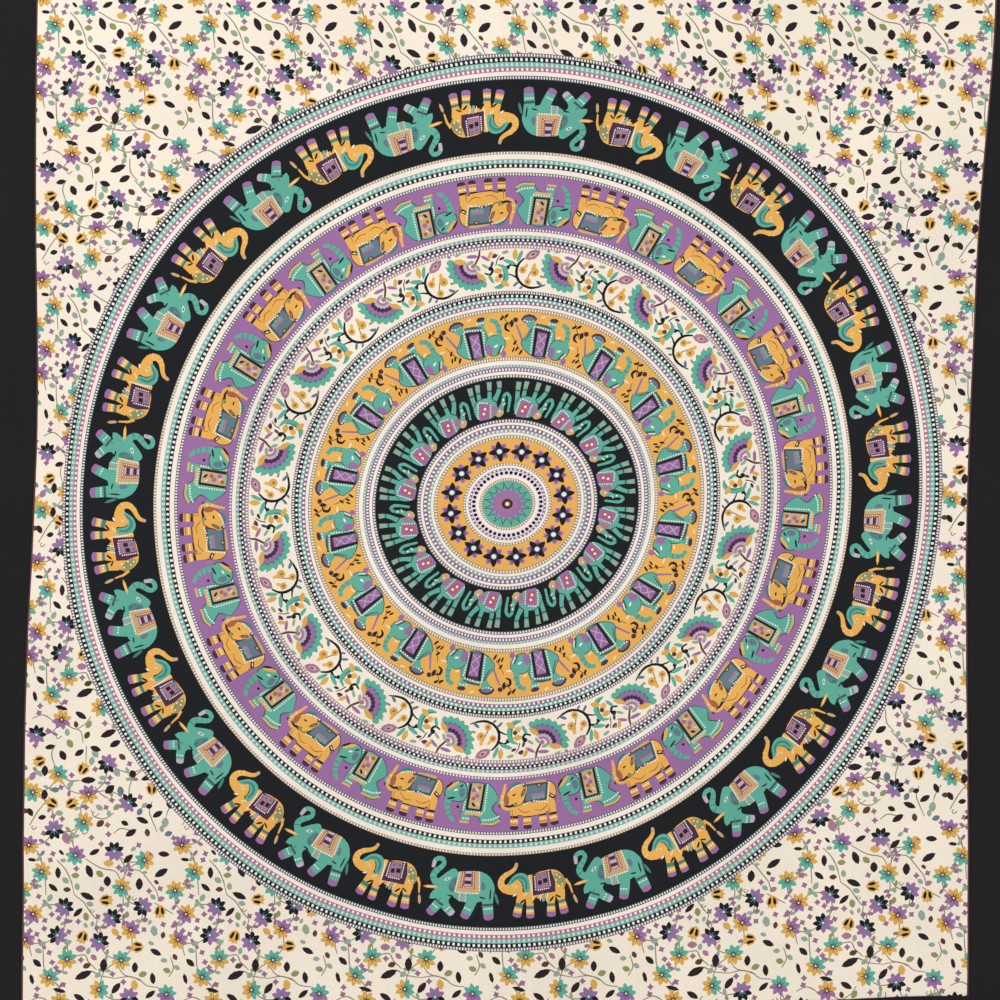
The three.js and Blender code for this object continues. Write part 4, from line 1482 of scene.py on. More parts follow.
def colour_lines(cells: Sequence[Patch]) -> set[Pair]:
    """Finds the edges where one dye meets another, and the cloth's own edge.

    Args:
        cells: Each triangle's corners and its dye.

    Returns:
        The edges, each with its lower corner first.
    """
    sides: dict[Pair, Dye] = {}
    lines = set()
    for cell, dye in cells:
        for a, b in zip(cell, (*cell[1:], cell[0])):
            key = (min(a, b), max(a, b))
            other = sides.pop(key, None)
            if other is None:
                sides[key] = dye
            elif other is not dye:
                lines.add(key)
    return lines | set(sides)


def straighten(lines: set[Pair], spots: Sequence[Vector], slack: float) -> set[Pair]:
    """Drops every second point that lies almost on the line between its two neighbours.

    Args:
        lines: The edges.
        spots: The points.
        slack: How far off that line a dropped point may lie, in millimetres.

    Returns:
        The edges that are left.
    """
    near: dict[int, set[int]] = {}
    for a, b in lines:
        near.setdefault(a, set()).add(b)
        near.setdefault(b, set()).add(a)
    fixed = set()
    for spot in sorted(near):
        if spot in fixed or len(near[spot]) != 2:
            continue
        a, b = sorted(near[spot])
        chord = spots[b] - spots[a]
        off = abs(chord.cross(spots[spot] - spots[a])) / max(chord.length, 1e-6)
        if off > slack or b in near[a]:
            continue
        near[a] = near[a] - {spot} | {b}
        near[b] = near[b] - {spot} | {a}
        near[spot] = set()
        fixed |= {a, b}
    return {(a, b) for a, others in near.items() for b in others if a < b}


@dataclass(frozen=True)
class PrintedPanel:
    """The printed panel: one sheet, cut up along the edges of its print.

    Attributes:
        grid: From one point of its own grid to the next, in metres.
        slack: How far the print's outlines may be straightened, in millimetres.
        weld: How near two points may be before they become one, in millimetres.
    """

    grid: float = 0.025
    slack: float = 0.5
    weld: float = 0.001

    def print_patches(self) -> tuple[Sequence[Vector], list[Patch]]:
        """Cuts the flat panel up along every printed outline.

        Returns:
            The points, in millimetres, and the triangles, each with the dye that lies on top.
        """
        half_w, half_h = PRINT.width * 500, PRINT.height * 500
        aside = PRINT.aside * 1000
        points = [Vector((x, y)) for x, y in
                  ((-half_w, -half_h), (half_w, -half_h), (half_w, half_h), (-half_w, half_h))]
        faces = [[0, 1, 2, 3]]
        dyes = [Dye.GROUND]
        for dye, outline in printed_shapes():
            first = len(points)
            points += [Vector((x + aside, y)) for x, y in counter_clockwise(outline)]
            faces.append(list(range(first, len(points))))
            dyes.append(dye)
        LOG.info("print: %d outlines, %d points", len(faces), len(points))
        spots, _, cells, _, _, owners = delaunay_2d_cdt(points, [], faces, 0, self.weld, True)
        return spots, [(cell, dyes[max(owner)]) for cell, owner in zip(cells, owners) if 0 in owner]

    def grid_points(self) -> list[Vector]:
        """Spreads points evenly over the flat panel, every second row half a step along.

        Returns:
            The points, in millimetres.
        """
        half_w, half_h, grid = PRINT.width * 500, PRINT.height * 500, self.grid * 1000
        columns, rows = round(2 * half_w / grid), round(2 * half_h / grid)
        points = []
        for i in range(columns + 1):
            for j in range(rows + 1):
                nudge = 0.5 if j % 2 and 0 < i < columns else 0.0
                points.append(Vector((-half_w + 2 * half_w * min(i + nudge, columns) / columns,
                                      -half_h + 2 * half_h * j / rows)))
        return points

    def net(self, spots: Sequence[Vector], patches: Sequence[Patch]) -> tuple[np.ndarray, np.ndarray]:
        """Cuts the panel again, only where its colour changes, into triangles that can drape.

        Args:
            spots: The points of the first cut.
            patches: Its triangles.

        Returns:
            The new points, in millimetres, and each new triangle's corners.
        """
        lines = colour_lines(patches)
        for share in (0.25, 0.5, 1.0, 1.0):
            lines = straighten(lines, spots, self.slack * share)
        ends = sorted({end for line in lines for end in line})
        order = {end: number for number, end in enumerate(ends)}
        points = [spots[end] for end in ends] + self.grid_points()
        edges = [(order[a], order[b]) for a, b in lines]
        spots, _, cells, _, _, _ = delaunay_2d_cdt(points, edges, [], 0, self.weld, False)
        LOG.info("print: %d triangles", len(cells))
        return np.array([tuple(spot) for spot in spots]), np.array(cells)

    def build(self, material: bpy.types.Material) -> bpy.types.Object:
        """Makes the panel.

        Args:
            material: The printed cotton.

        Returns:
            The panel.
        """
        spots, patches = self.print_patches()
        lookup = BVHTree.FromPolygons([(*spot, 0.0) for spot in spots], [cell for cell, _ in patches])
        flat, triangles = self.net(spots, patches)
        middles = flat[triangles].mean(axis=1)
        worn = [patches[lookup.find_nearest((x, y, 0.0))[2]][1] for x, y in middles.tolist()]
        flat = flat / 1000

        mesh = bpy.data.meshes.new("printed_panel")
        mesh.vertices.add(len(flat))
        mesh.vertices.foreach_set("co", DRAPE.place(flat[:, 0], flat[:, 1]).ravel())
        mesh.loops.add(triangles.size)
        mesh.loops.foreach_set("vertex_index", triangles.ravel())
        mesh.polygons.add(len(triangles))
        mesh.polygons.foreach_set("loop_start", np.arange(len(triangles)) * 3)
        mesh.update(calc_edges=True)
        mesh.validate()
        self.dye(mesh, flat, worn)
        mesh.shade_smooth()
        panel = add_object("printed_panel_cloth", mesh)
        finish_piece(panel, "cloth", material, ["printed_panel"])
        return panel

    def dye(self, mesh: bpy.types.Mesh, flat: np.ndarray, worn: Sequence[Dye]) -> None:
        """Gives the mesh its place on the flat print and each triangle's dye.

        Args:
            mesh: The panel's mesh.
            flat: Its points on the flat cloth, in metres.
            worn: Each triangle's dye. The ground's alpha is 0, so that the rings show there.
        """
        corners = np.empty(len(mesh.loops), dtype=np.int32)
        mesh.loops.foreach_get("vertex_index", corners)
        place = flat[corners]
        unit = np.stack([place[:, 0] / PRINT.width + 0.5, place[:, 1] / PRINT.height + 0.5], axis=1)
        mesh.uv_layers.new(name="OFBake").data.foreach_set("uv", unit.ravel())
        colours = np.array([(*dye.value, 0.0 if dye is Dye.GROUND else 1.0) for dye in worn])
        layer = mesh.color_attributes.new(name="dye", type="FLOAT_COLOR", domain="CORNER")
        layer.data.foreach_set("color", np.repeat(colours, 3, axis=0).ravel())


def sweep(name: str, section: Sequence[Point], stations: np.ndarray,
          place: Callable[[np.ndarray, np.ndarray, float], np.ndarray]) -> bpy.types.Mesh:
    """Runs an open section along a row of stations.

    Args:
        name: The mesh's name.
        section: Points across the section.
        stations: Distances along the run.
        place: Gives the points of one section point for all stations.

    Returns:
        A mesh of quads.
    """
    columns = [place(np.full(len(stations), a), stations, b) for a, b in section]
    points = np.concatenate(columns)
    count = len(stations)
    faces = [(c * count + k, c * count + k + 1, (c + 1) * count + k + 1, (c + 1) * count + k)
             for c in range(len(section) - 1) for k in range(count - 1)]
    mesh = bpy.data.meshes.new(name)
    mesh.from_pydata([tuple(p) for p in points], [], faces)
    mesh.update()
    return mesh


def run(start: float, end: float, step: float) -> np.ndarray:
    """Divides a length into nearly equal steps."""
    return np.linspace(start, end, max(2, round(abs(end - start) / step) + 1))


@dataclass(frozen=True)
class BorderStrip:
    """A black strip sewn over the panel's edge, its outer edge hemmed to the back, in metres.

    Attributes:
        width: From its seam edge to its outer fold.
        hem: How far it is turned to the back.
        cloth: The cloth's thickness.
        layer: From the front layer to the turned one.
        step: From one section to the next.
    """

    width: float = 0.095
    hem: float = 0.025
    cloth: float = 0.0005
    layer: float = 0.0008
    step: float = 0.014

    def section(self, front: float) -> list[Point]:
        """Gives the strip's middle line across it.

        Args:
            front: The y of its front.

        Returns:
            Points across the strip and behind the panel's front.
        """
        lie = front + self.cloth / 2 - PRINT.front
        bend = self.layer / 2
        face = [(float(a), lie) for a in np.linspace(0.0, self.width - bend, 12)]
        fold = [(self.width - bend + bend * math.sin(t), lie + bend - bend * math.cos(t))
                for t in (math.pi / 4, math.pi / 2, 3 * math.pi / 4)]
        turned = [(float(a), lie + self.layer) for a in
                  np.linspace(self.width - bend, self.width - self.hem, 5)]
        return [*face, *fold, *turned]

    def build(self, edge: Edge, material: bpy.types.Material) -> bpy.types.Object:
        """Makes one strip with its hem.

        Args:
            edge: The edge of the cloth that it is sewn to.
            material: Its cotton.

        Returns:
            The strip.
        """
        node = f"border_{edge.value}"
        low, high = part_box(node)
        if edge.upright:
            inner = low[0] if edge.outward > 0 else high[0]
            stations = run(low[2] - PRINT.centre_z, high[2] - PRINT.centre_z, self.step)
        else:
            inner = (low[2] if edge.outward > 0 else high[2]) - PRINT.centre_z
            stations = run(low[0], high[0], self.step)

        def place(out: np.ndarray, along: np.ndarray, depth: float) -> np.ndarray:
            """Carries points of the flat strip to where they hang."""
            off = inner + edge.outward * out
            return DRAPE.place(off, along, depth) if edge.upright else DRAPE.place(along, off, depth)

        strip = add_object(f"{node}_cloth", sweep(node, self.section(low[1]), stations, place))
        thicken(strip, self.cloth)
        finish_piece(strip, "cloth", material, [node])
        return strip


BORDER = BorderStrip()


@dataclass(frozen=True)
class StitchRow:
    """A row of separate stitches where the frame has one bar of thread, in metres.

    Attributes:
        length: A stitch's length.
        gap: From the end of a stitch to the start of the next.
        tick: A stitch's width.
        lift: How far a stitch stands off its bar's middle.
        drift: How far the stitches stray from a straight line.
    """

    length: float = 0.0031
    gap: float = 0.0013
    tick: float = 0.00075
    lift: float = 0.0002
    drift: float = 0.00016

    def build(self, node: str, material: bpy.types.Material) -> bpy.types.Object:
        """Makes one row.

        Args:
            node: The thread's piece in the frame.
            material: The thread.

        Returns:
            The row of stitches.
        """
        low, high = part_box(node)
        base = PRINT.centre_z
        upright = high[2] - low[2] > high[0] - low[0]
        start, end = (low[2] - base, high[2] - base) if upright else (low[0], high[0])
        across = (low[0] + high[0]) / 2 if upright else (low[2] + high[2]) / 2 - base
        depth = (low[1] + high[1]) / 2 - PRINT.front
        outward = 1 if depth > 0 else -1
        pitch = self.length + self.gap
        count = int((end - start) / pitch)
        starts = start + (end - start - count * pitch + self.gap) / 2 + np.arange(count) * pitch
        rng = np.random.default_rng([STITCH_SEED, *node.encode()])
        drift = rng.normal(0, self.drift, count)

        # Four rings of four corners: each ring's place along the stitch, its width and its height.
        rows = []
        for share, wide, high_part in ((-0.5, 0.35, 0.0), (-0.36, 1.0, 0.75), (0.36, 1.0, 0.75),
                                       (0.5, 0.35, 0.0)):
            for side, rise in ((-1, -0.4), (1, -0.4), (0.6, 1.0), (-0.6, 1.0)):
                along = starts + self.length * (0.5 + share)
                off = across + drift + side * (self.tick / 2) * wide
                out = depth + outward * self.lift * rise * (0.3 + high_part)
                rows.append(DRAPE.place(off, along, out) if upright else DRAPE.place(along, off, out))
        points = np.stack(rows, axis=1)
        quads = [(ring + k, ring + (k + 1) % 4, ring + (k + 1) % 4 + 4, ring + k + 4)
                 for ring in (0, 4, 8) for k in range(4)]
        shape = np.array([*quads, (3, 2, 1, 0), (12, 13, 14, 15)])
        faces = (shape[None] + np.arange(count)[:, None, None] * 16).reshape(-1, 4)
        mesh = bpy.data.meshes.new(node)
        mesh.from_pydata(points.reshape(-1, 3).tolist(), [], faces.tolist())
        mesh.update()
        row = add_object(f"{node}_stitches", mesh)
        face_outwards(row)
        smooth(row, 50)
        return finish_piece(row, "cloth", material, [node])


@dataclass(frozen=True)
class RodSleeve:
    """The rod sleeve: one strip of cloth sewn down above and below the rod, in metres.

    Attributes:
        flange: How much of it lies flat above the tunnel, and below it.
        back: Half the height of the flat stretch behind the rod.
        step: From one section to the next.
        ripple: How far its loose cloth ripples.
        wave: From one ripple to the next.
        beat: The length over which the ripples open and close up.
    """

    flange: float = 0.012
    back: float = 0.003
    step: float = 0.009
    ripple: float = 0.0016
    wave: float = 0.118
    beat: float = 0.61

    def section(self) -> list[Point]:
        """Gives its middle line.

        Returns:
            Points as y and z, from its upper edge to its lower.
        """
        low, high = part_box("rod_sleeve_lower")
        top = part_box("rod_sleeve_upper")[1][2]
        half = BORDER.cloth / 2
        front, back, flange = low[1] + half, high[1] - half, self.flange
        radius = math.hypot(back, self.back)
        upper, lower = (front, top - flange), (front, low[2] + flange)

        def leaves_round(point: Point) -> float:
            """Finds the angle at which a straight run from a point meets the round part."""
            reach = math.acos(radius / math.hypot(*point))
            return math.atan2(point[1], point[0]) - math.copysign(reach, point[1])

        bend = math.atan2(self.back, back)
        round_top = [(radius * math.cos(a), radius * math.sin(a))
                     for a in np.linspace(leaves_round(upper), bend, 12)]
        round_low = [(radius * math.cos(a), radius * math.sin(a))
                     for a in np.linspace(-bend, leaves_round(lower), 12)]
        return [(front, top), (front, top - flange / 2), upper, *between(upper, round_top[0], 3),
                *round_top, *round_low, *between(round_low[-1], lower, 5), lower,
                (front, lower[1] - flange / 2), (front, low[2])]

    def place(self, y: np.ndarray, x: np.ndarray, z: float) -> np.ndarray:
        """Carries one point of the section along the rod, rippled where the cloth is loose.

        Args:
            y: Its y, once for each station.
            x: The stations.
            z: Its height.

        Returns:
            One row of x, y and z for each station.
        """
        loose = 0.0 if y[0] < -0.011 or z > -0.004 else 1.0
        wave = np.sin(2 * math.pi * x / self.wave + 1.3 * np.sin(2 * math.pi * x / self.beat))
        level = np.full(len(x), z)
        out = self.ripple * loose * (0.5 + 0.5 * wave)
        out = out * ease(-level, 0.004, 0.016) * (1 - ease(-level, 0.02, 0.029))
        return np.stack([x, y + out * 0.6, level - out], axis=-1)

    def build(self, material: bpy.types.Material) -> bpy.types.Object:
        """Makes the sleeve.

        Args:
            material: Its cotton.

        Returns:
            The sleeve.
        """
        low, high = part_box("rod_sleeve_upper")
        section = self.section()
        mesh = sweep("rod_sleeve", section, run(low[0], high[0], self.step), self.place)
        sleeve = add_object("rod_sleeve_cloth", mesh)
        thicken(sleeve, BORDER.cloth)
        finish_piece(sleeve, "cloth", material,
                     ["rod_sleeve_upper", "rod_sleeve_lower"])
        length = sum(math.dist(a, b) for a, b in zip(section, section[1:]))
        return sleeve


def between(start: Point, end: Point, parts: int) -> list[Point]:
    """Gives the points that divide a straight run into parts, without its ends."""
    return [(start[0] + (end[0] - start[0]) * k / parts, start[1] + (end[1] - start[1]) * k / parts)
            for k in range(1, parts)]


# ---- The rod and its caps ------------------------------------------------------------------------


@dataclass(frozen=True)
class Rod:
    """The wooden rod.

    Attributes:
        sides: How many sides its round is made with.
        arris: How far its ends' edges are eased, in metres.
    """

    sides: int = 64
    arris: float = 0.0015

    def build(self, material: bpy.types.Material) -> bpy.types.Object:
        """Makes the rod.

        Args:
            material: Its wood.

        Returns:
            The rod.
        """
        low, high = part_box("dowel_rod")
        bpy.ops.object.select_all(action="DESELECT")
        bpy.ops.mesh.primitive_cylinder_add(vertices=self.sides, radius=high[2],
                                            depth=high[0] - low[0], rotation=(0, math.pi / 2, 0))
        rod = bpy.context.object
        rod.name = "dowel_rod_turned"
        bpy.ops.object.transform_apply(location=True, rotation=True, scale=True)
        apply_modifier(rod, "BEVEL", width=self.arris, segments=3, limit_method="ANGLE",
                       angle_limit=math.radians(60))
        smooth(rod, 35)
        return finish_piece(rod, "rod", material, ["dowel_rod"])


@dataclass(frozen=True)
class EndCap:
    """A turned end cap, in metres, measured outwards from its mouth.

    Attributes:
        socket: Its socket's radius.
        depth: The socket's depth.
        neck: Its neck's radius.
        bead: Its largest radius.
        waist: Where the bead starts.
        widest: Where it is widest.
        length: Its whole length.
        face: The radius of its flat end.
    """

    socket: float = 0.0128
    depth: float = 0.020
    neck: float = 0.0145
    bead: float = 0.018
    waist: float = 0.005
    widest: float = 0.010
    length: float = 0.034
    face: float = 0.008

    def profile(self) -> list[Point]:
        """Gives its half section, with a small groove between the neck and the bead.

        Returns:
            Points as radius and height, from the socket's floor to the middle of the flat end.
        """
        rise, swell = self.length - self.widest, self.bead - self.face
        dome = [(self.face + swell * math.cos(t), self.widest + rise * math.sin(t))
                for t in np.linspace(0.0, math.pi / 2, 14)]
        return [
            (0.0, self.depth), (self.socket - 0.0004, self.depth), (self.socket, self.depth - 0.0004),
            (self.socket, 0.0005), (self.socket + 0.0005, 0.0), (self.neck - 0.0005, 0.0),
            (self.neck, 0.0005), (self.neck, self.waist - 0.0012),
            (self.neck - 0.0006, self.waist - 0.0006), (self.neck - 0.0002, self.waist),
            (self.neck + 0.0018, self.waist + 0.0016),
            (self.bead - 0.0006, self.widest - 0.0022), *dome,
            (self.face - 0.0012, self.length), (0.0, self.length),
        ]

    def build(self, edge: Edge, material: bpy.types.Material) -> bpy.types.Object:
        """Makes one cap by turning its half section about the rod's axis.

        Args:
            edge: The left or the right edge.
            material: Its wood.

        Returns:
            The cap.
        """
        node = f"end_cap_{edge.value}"
        low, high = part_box(node)
        mouth = low[0] if edge.outward > 0 else high[0]
        line = [(mouth + edge.outward * height, 0.0, radius) for radius, height in self.profile()]
        mesh = bpy.data.meshes.new(node)
        mesh.from_pydata(line, [(k, k + 1) for k in range(len(line) - 1)], [])
        cap = add_object(f"{node}_turned", mesh)
        apply_modifier(cap, "SCREW", axis="X", steps=72, render_steps=72, use_merge_vertices=True,
                       merge_threshold=1e-6)
        face_outwards(cap)
        smooth(cap, 35)
        return finish_piece(cap, f"{edge.value}_cap", material, [node])


# ---- Materials -----------------------------------------------------------------------------------


@dataclass(frozen=True)
class Cotton:
    """How a cotton looks.

    Attributes:
        name: The material's name.
        colour: Its colour, linear.
        roughness: From 0, polished, to 1, matt.
        sheen: How much light its fibres catch at a low angle.
        weave: How deep its weave looks.
    """

    name: str
    colour: tuple[float, float, float]
    roughness: float
    sheen: float
    weave: float


@dataclass(frozen=True)
class Wood:
    """How a polished wood looks.

    Attributes:
        name: The material's name.
        light: Its main colour, linear.
        dark: The colour of its grain and pores.
        roughness: From 0, polished, to 1, matt.
        grain: How close its grain is.
    """

    name: str
    light: tuple[float, float, float]
    dark: tuple[float, float, float]
    roughness: float
    grain: float


PRINTED_COTTON = Cotton("printed cotton", Dye.GROUND.value, 0.9, 0.04, 0.25)
BORDER_COTTON = Cotton("border cotton", linear(31, 30, 31), 0.92, 0.06, 0.35)
THREAD = Cotton("thread", linear(22, 21, 23), 0.8, 0.06, 0.35)
ROD_WOOD = Wood("rod wood", linear(196, 148, 98), linear(150, 104, 62), 0.5, 1.0)
CAP_WOOD = Wood("cap wood", linear(112, 70, 42), linear(70, 40, 24), 0.32, 3.0)
BACK_TONE = linear(232, 222, 206)
# A painted seam shadow: the dark maroon line on the panel where each side border lies over it.
SEAM_SHADE_TONE = linear(104, 66, 66)
FLOOR_TONE = (0.8, 0.79, 0.77)

# How much of the back's own tone lies over the print, and how much light cotton and wood throw back.
BACK_SHARE = 0.62
COTTON_SHINE = 0.15
WOOD_COAT = 0.15
# The weave's threads to the metre.
THREADS = 900


class Desk:
    """Builds a node tree.

    Attributes:
        tree: The tree.
        count: How many nodes it has.
    """

    def __init__(self, tree: bpy.types.NodeTree) -> None:
        """Starts with an empty tree."""
        self.tree = tree
        self.count = 0

    def add(self, kind: str, inputs: dict[object, object] | None = None,
            **settings: object) -> bpy.types.Node:
        """Adds a node.

        Args:
            kind: The node's type, without "ShaderNode" in front.
            inputs: Values or sockets for its inputs, by name or number.
            **settings: Its settings.

        Returns:
            The node.
        """
        node = self.tree.nodes.new(kind if kind.startswith("Node") else f"ShaderNode{kind}")
        node.location = (180 * (self.count % 24), -260 * (self.count // 24))
        self.count += 1
        for key, value in settings.items():
            setattr(node, key, value)
        for key, value in (inputs or {}).items():
            if isinstance(value, bpy.types.NodeSocket):
                self.tree.links.new(value, node.inputs[key])
            else:
                node.inputs[key].default_value = value
        return node

    def math(self, operation: str, first: object, second: object = 0.5) -> bpy.types.NodeSocket:
        """Adds a sum and gives its result."""
        return self.add("Math", {0: first, 1: second}, operation=operation).outputs[0]

    def mix(self, factor: object, below: object, above: object,
            blend: str = "MIX") -> bpy.types.NodeSocket:
        """Mixes two colours and gives the result."""
        node = self.add("Mix", {0: factor, 6: below, 7: above}, data_type="RGBA", blend_type=blend)
        return node.outputs[2]

    def dress(self, shader: bpy.types.Node, group: bpy.types.Node, levels: dict[str, float]) -> None:
        """Gives a shader a group's colour and bumps, and some levels.

        Args:
            shader: The shader.
            group: The group's node.
            levels: The levels, by the name of the shader's input.
        """
        self.tree.links.new(group.outputs["Color"], shader.inputs["Base Color"])
        self.tree.links.new(group.outputs["Normal"], shader.inputs["Normal"])
        for key, value in levels.items():
            shader.inputs[key].default_value = value


def colour4(colour: Sequence[float]) -> tuple[float, float, float, float]:
    """Adds a full alpha to a colour."""
    return (colour[0], colour[1], colour[2], 1.0)


def new_group(name: str, inputs: Sequence[tuple[str, str, object]],
              outputs: Sequence[tuple[str, str]]) -> tuple[bpy.types.NodeTree, Desk, bpy.types.Node]:
    """Starts a node group.

    Args:
        name: Its name.
        inputs: Each input's name, socket type and default value.
        outputs: Each output's name and socket type.

    Returns:
        The group, a desk for it and its input node.
    """
    group = bpy.data.node_groups.new(name, "ShaderNodeTree")
    for label, kind, value in inputs:
        socket = group.interface.new_socket(label, in_out="INPUT", socket_type=f"NodeSocket{kind}")
        if value is not None:
            socket.default_value = value
    for label, kind in outputs:
        group.interface.new_socket(label, in_out="OUTPUT", socket_type=f"NodeSocket{kind}")
    desk = Desk(group)
    return group, desk, desk.add("NodeGroupInput")


def ring_group() -> bpy.types.NodeTree:
    """Builds the group that lays one ring of the medallion over what is below it.

    Returns:
        The group.
    """
    inputs = [("Below", "Color", None), ("Radius", "Float", 0.0), ("Turns", "Float", 0.0),
              ("Outer", "Float", 1.0), ("Middle", "Float", 1.0), ("Half", "Float", 1.0),
              ("Count", "Float", 0.0), ("Long", "Float", 0.5), ("Start", "Float", 0.0),
              ("Ring", "Color", None), ("Spot", "Color", None)]
    group, desk, start = new_group("printed ring", inputs, [("Color", "Color")])
    get = start.outputs
    inside = desk.math("LESS_THAN", get["Radius"], get["Outer"])
    run_on = desk.math("MULTIPLY_ADD", get["Turns"], get["Count"])
    desk.tree.links.new(get["Start"], run_on.node.inputs[2])
    share = desk.math("SUBTRACT", desk.math("FRACT", run_on), 0.5)
    wide = desk.math("DIVIDE", share, desk.math("MULTIPLY", get["Long"], 0.5))
    tall = desk.math("DIVIDE", desk.math("SUBTRACT", get["Radius"], get["Middle"]), get["Half"])
    size = desk.math("ADD", desk.math("POWER", desk.math("ABSOLUTE", wide), 3.0),
                     desk.math("POWER", desk.math("ABSOLUTE", tall), 3.0))
    dot = desk.math("MULTIPLY", desk.math("LESS_THAN", size, 1.0),
                    desk.math("GREATER_THAN", get["Count"], 0.5))
    ring = desk.mix(dot, get["Ring"], get["Spot"])
    desk.add("NodeGroupOutput", {0: desk.mix(inside, get["Below"], ring)})
    return group


def cotton_group() -> bpy.types.NodeTree:
    """Builds the group that gives cotton its weave, its slubs and its uneven dye.

    Returns:
        The group.
    """
    inputs = [("Color", "Color", None), ("Depth", "Float", 0.25)]
    group, desk, start = new_group("cotton", inputs, [("Color", "Color"), ("Normal", "Vector")])
    place = desk.add("TexCoord").outputs["Object"]
    split = desk.add("SeparateXYZ", {0: place}).outputs
    warp = desk.math("SINE", desk.math("MULTIPLY", split[0], 2 * math.pi * THREADS))
    weft = desk.math("SINE", desk.math("MULTIPLY", split[2], 2 * math.pi * THREADS))
    weave = desk.math("MULTIPLY", warp, weft)
    stretched = desk.add("Mapping", {0: place, 3: (220.0, 60.0, 900.0)}).outputs[0]
    slub = desk.add("TexNoise", {"Vector": stretched, "Scale": 1.0, "Detail": 2.0}).outputs[0]
    rubbed = desk.add("TexNoise", {"Vector": place, "Scale": 5.0, "Detail": 3.0}).outputs[0]
    grain = desk.add("TexNoise", {"Vector": place, "Scale": 420.0, "Detail": 1.0}).outputs[0]
    height = desk.math("ADD", desk.math("MULTIPLY", weave, 0.3), slub)
    bump = desk.add("Bump", {"Strength": start.outputs["Depth"], "Distance": 0.0006, "Height": height})
    tone = desk.add("MapRange", {0: rubbed, 1: 0.3, 2: 0.7, 3: 0.94, 4: 1.04}).outputs[0]
    fine = desk.add("MapRange", {0: grain, 1: 0.25, 2: 0.75, 3: 0.93, 4: 1.05}).outputs[0]
    both = desk.math("MULTIPLY", tone, fine)
    grey = desk.add("CombineColor", {0: both, 1: both, 2: both}).outputs[0]
    shaded = desk.mix(1.0, start.outputs["Color"], grey, "MULTIPLY")
    desk.add("NodeGroupOutput", {0: shaded, 1: bump.outputs[0]})
    return group


def wood_group() -> bpy.types.NodeTree:
    """Builds the group that gives wood its long grain and pores.

    Returns:
        The group.
    """
    inputs = [("Light", "Color", None), ("Dark", "Color", None), ("Scale", "Float", 1.0)]
    group, desk, start = new_group("wood grain", inputs, [("Color", "Color"), ("Normal", "Vector")])
    place = desk.add("TexCoord").outputs["Object"]
    along = desk.add("Mapping", {0: place, 3: (2.2, 60.0, 60.0)}).outputs[0]
    fibre = desk.add("Mapping", {0: place, 3: (22.0, 900.0, 900.0)}).outputs[0]
    bands = desk.add("TexNoise", {"Vector": along, "Scale": start.outputs["Scale"], "Detail": 4.0,
                                  "Distortion": 0.6}).outputs[0]
    pores = desk.add("TexNoise", {"Vector": fibre, "Scale": 1.0, "Detail": 2.0}).outputs[0]
    share = desk.add("MapRange", {0: bands, 1: 0.38, 2: 0.62}).outputs[0]
    colour = desk.mix(share, start.outputs["Light"], start.outputs["Dark"])
    speck = desk.add("MapRange", {0: pores, 1: 0.56, 2: 0.66, 3: 0.0, 4: 0.45}).outputs[0]
    colour = desk.mix(speck, colour, start.outputs["Dark"])
    bump = desk.add("Bump", {"Strength": 0.15, "Distance": 0.0004, "Height": pores})
    desk.add("NodeGroupOutput", {0: colour, 1: bump.outputs[0]})
    return group


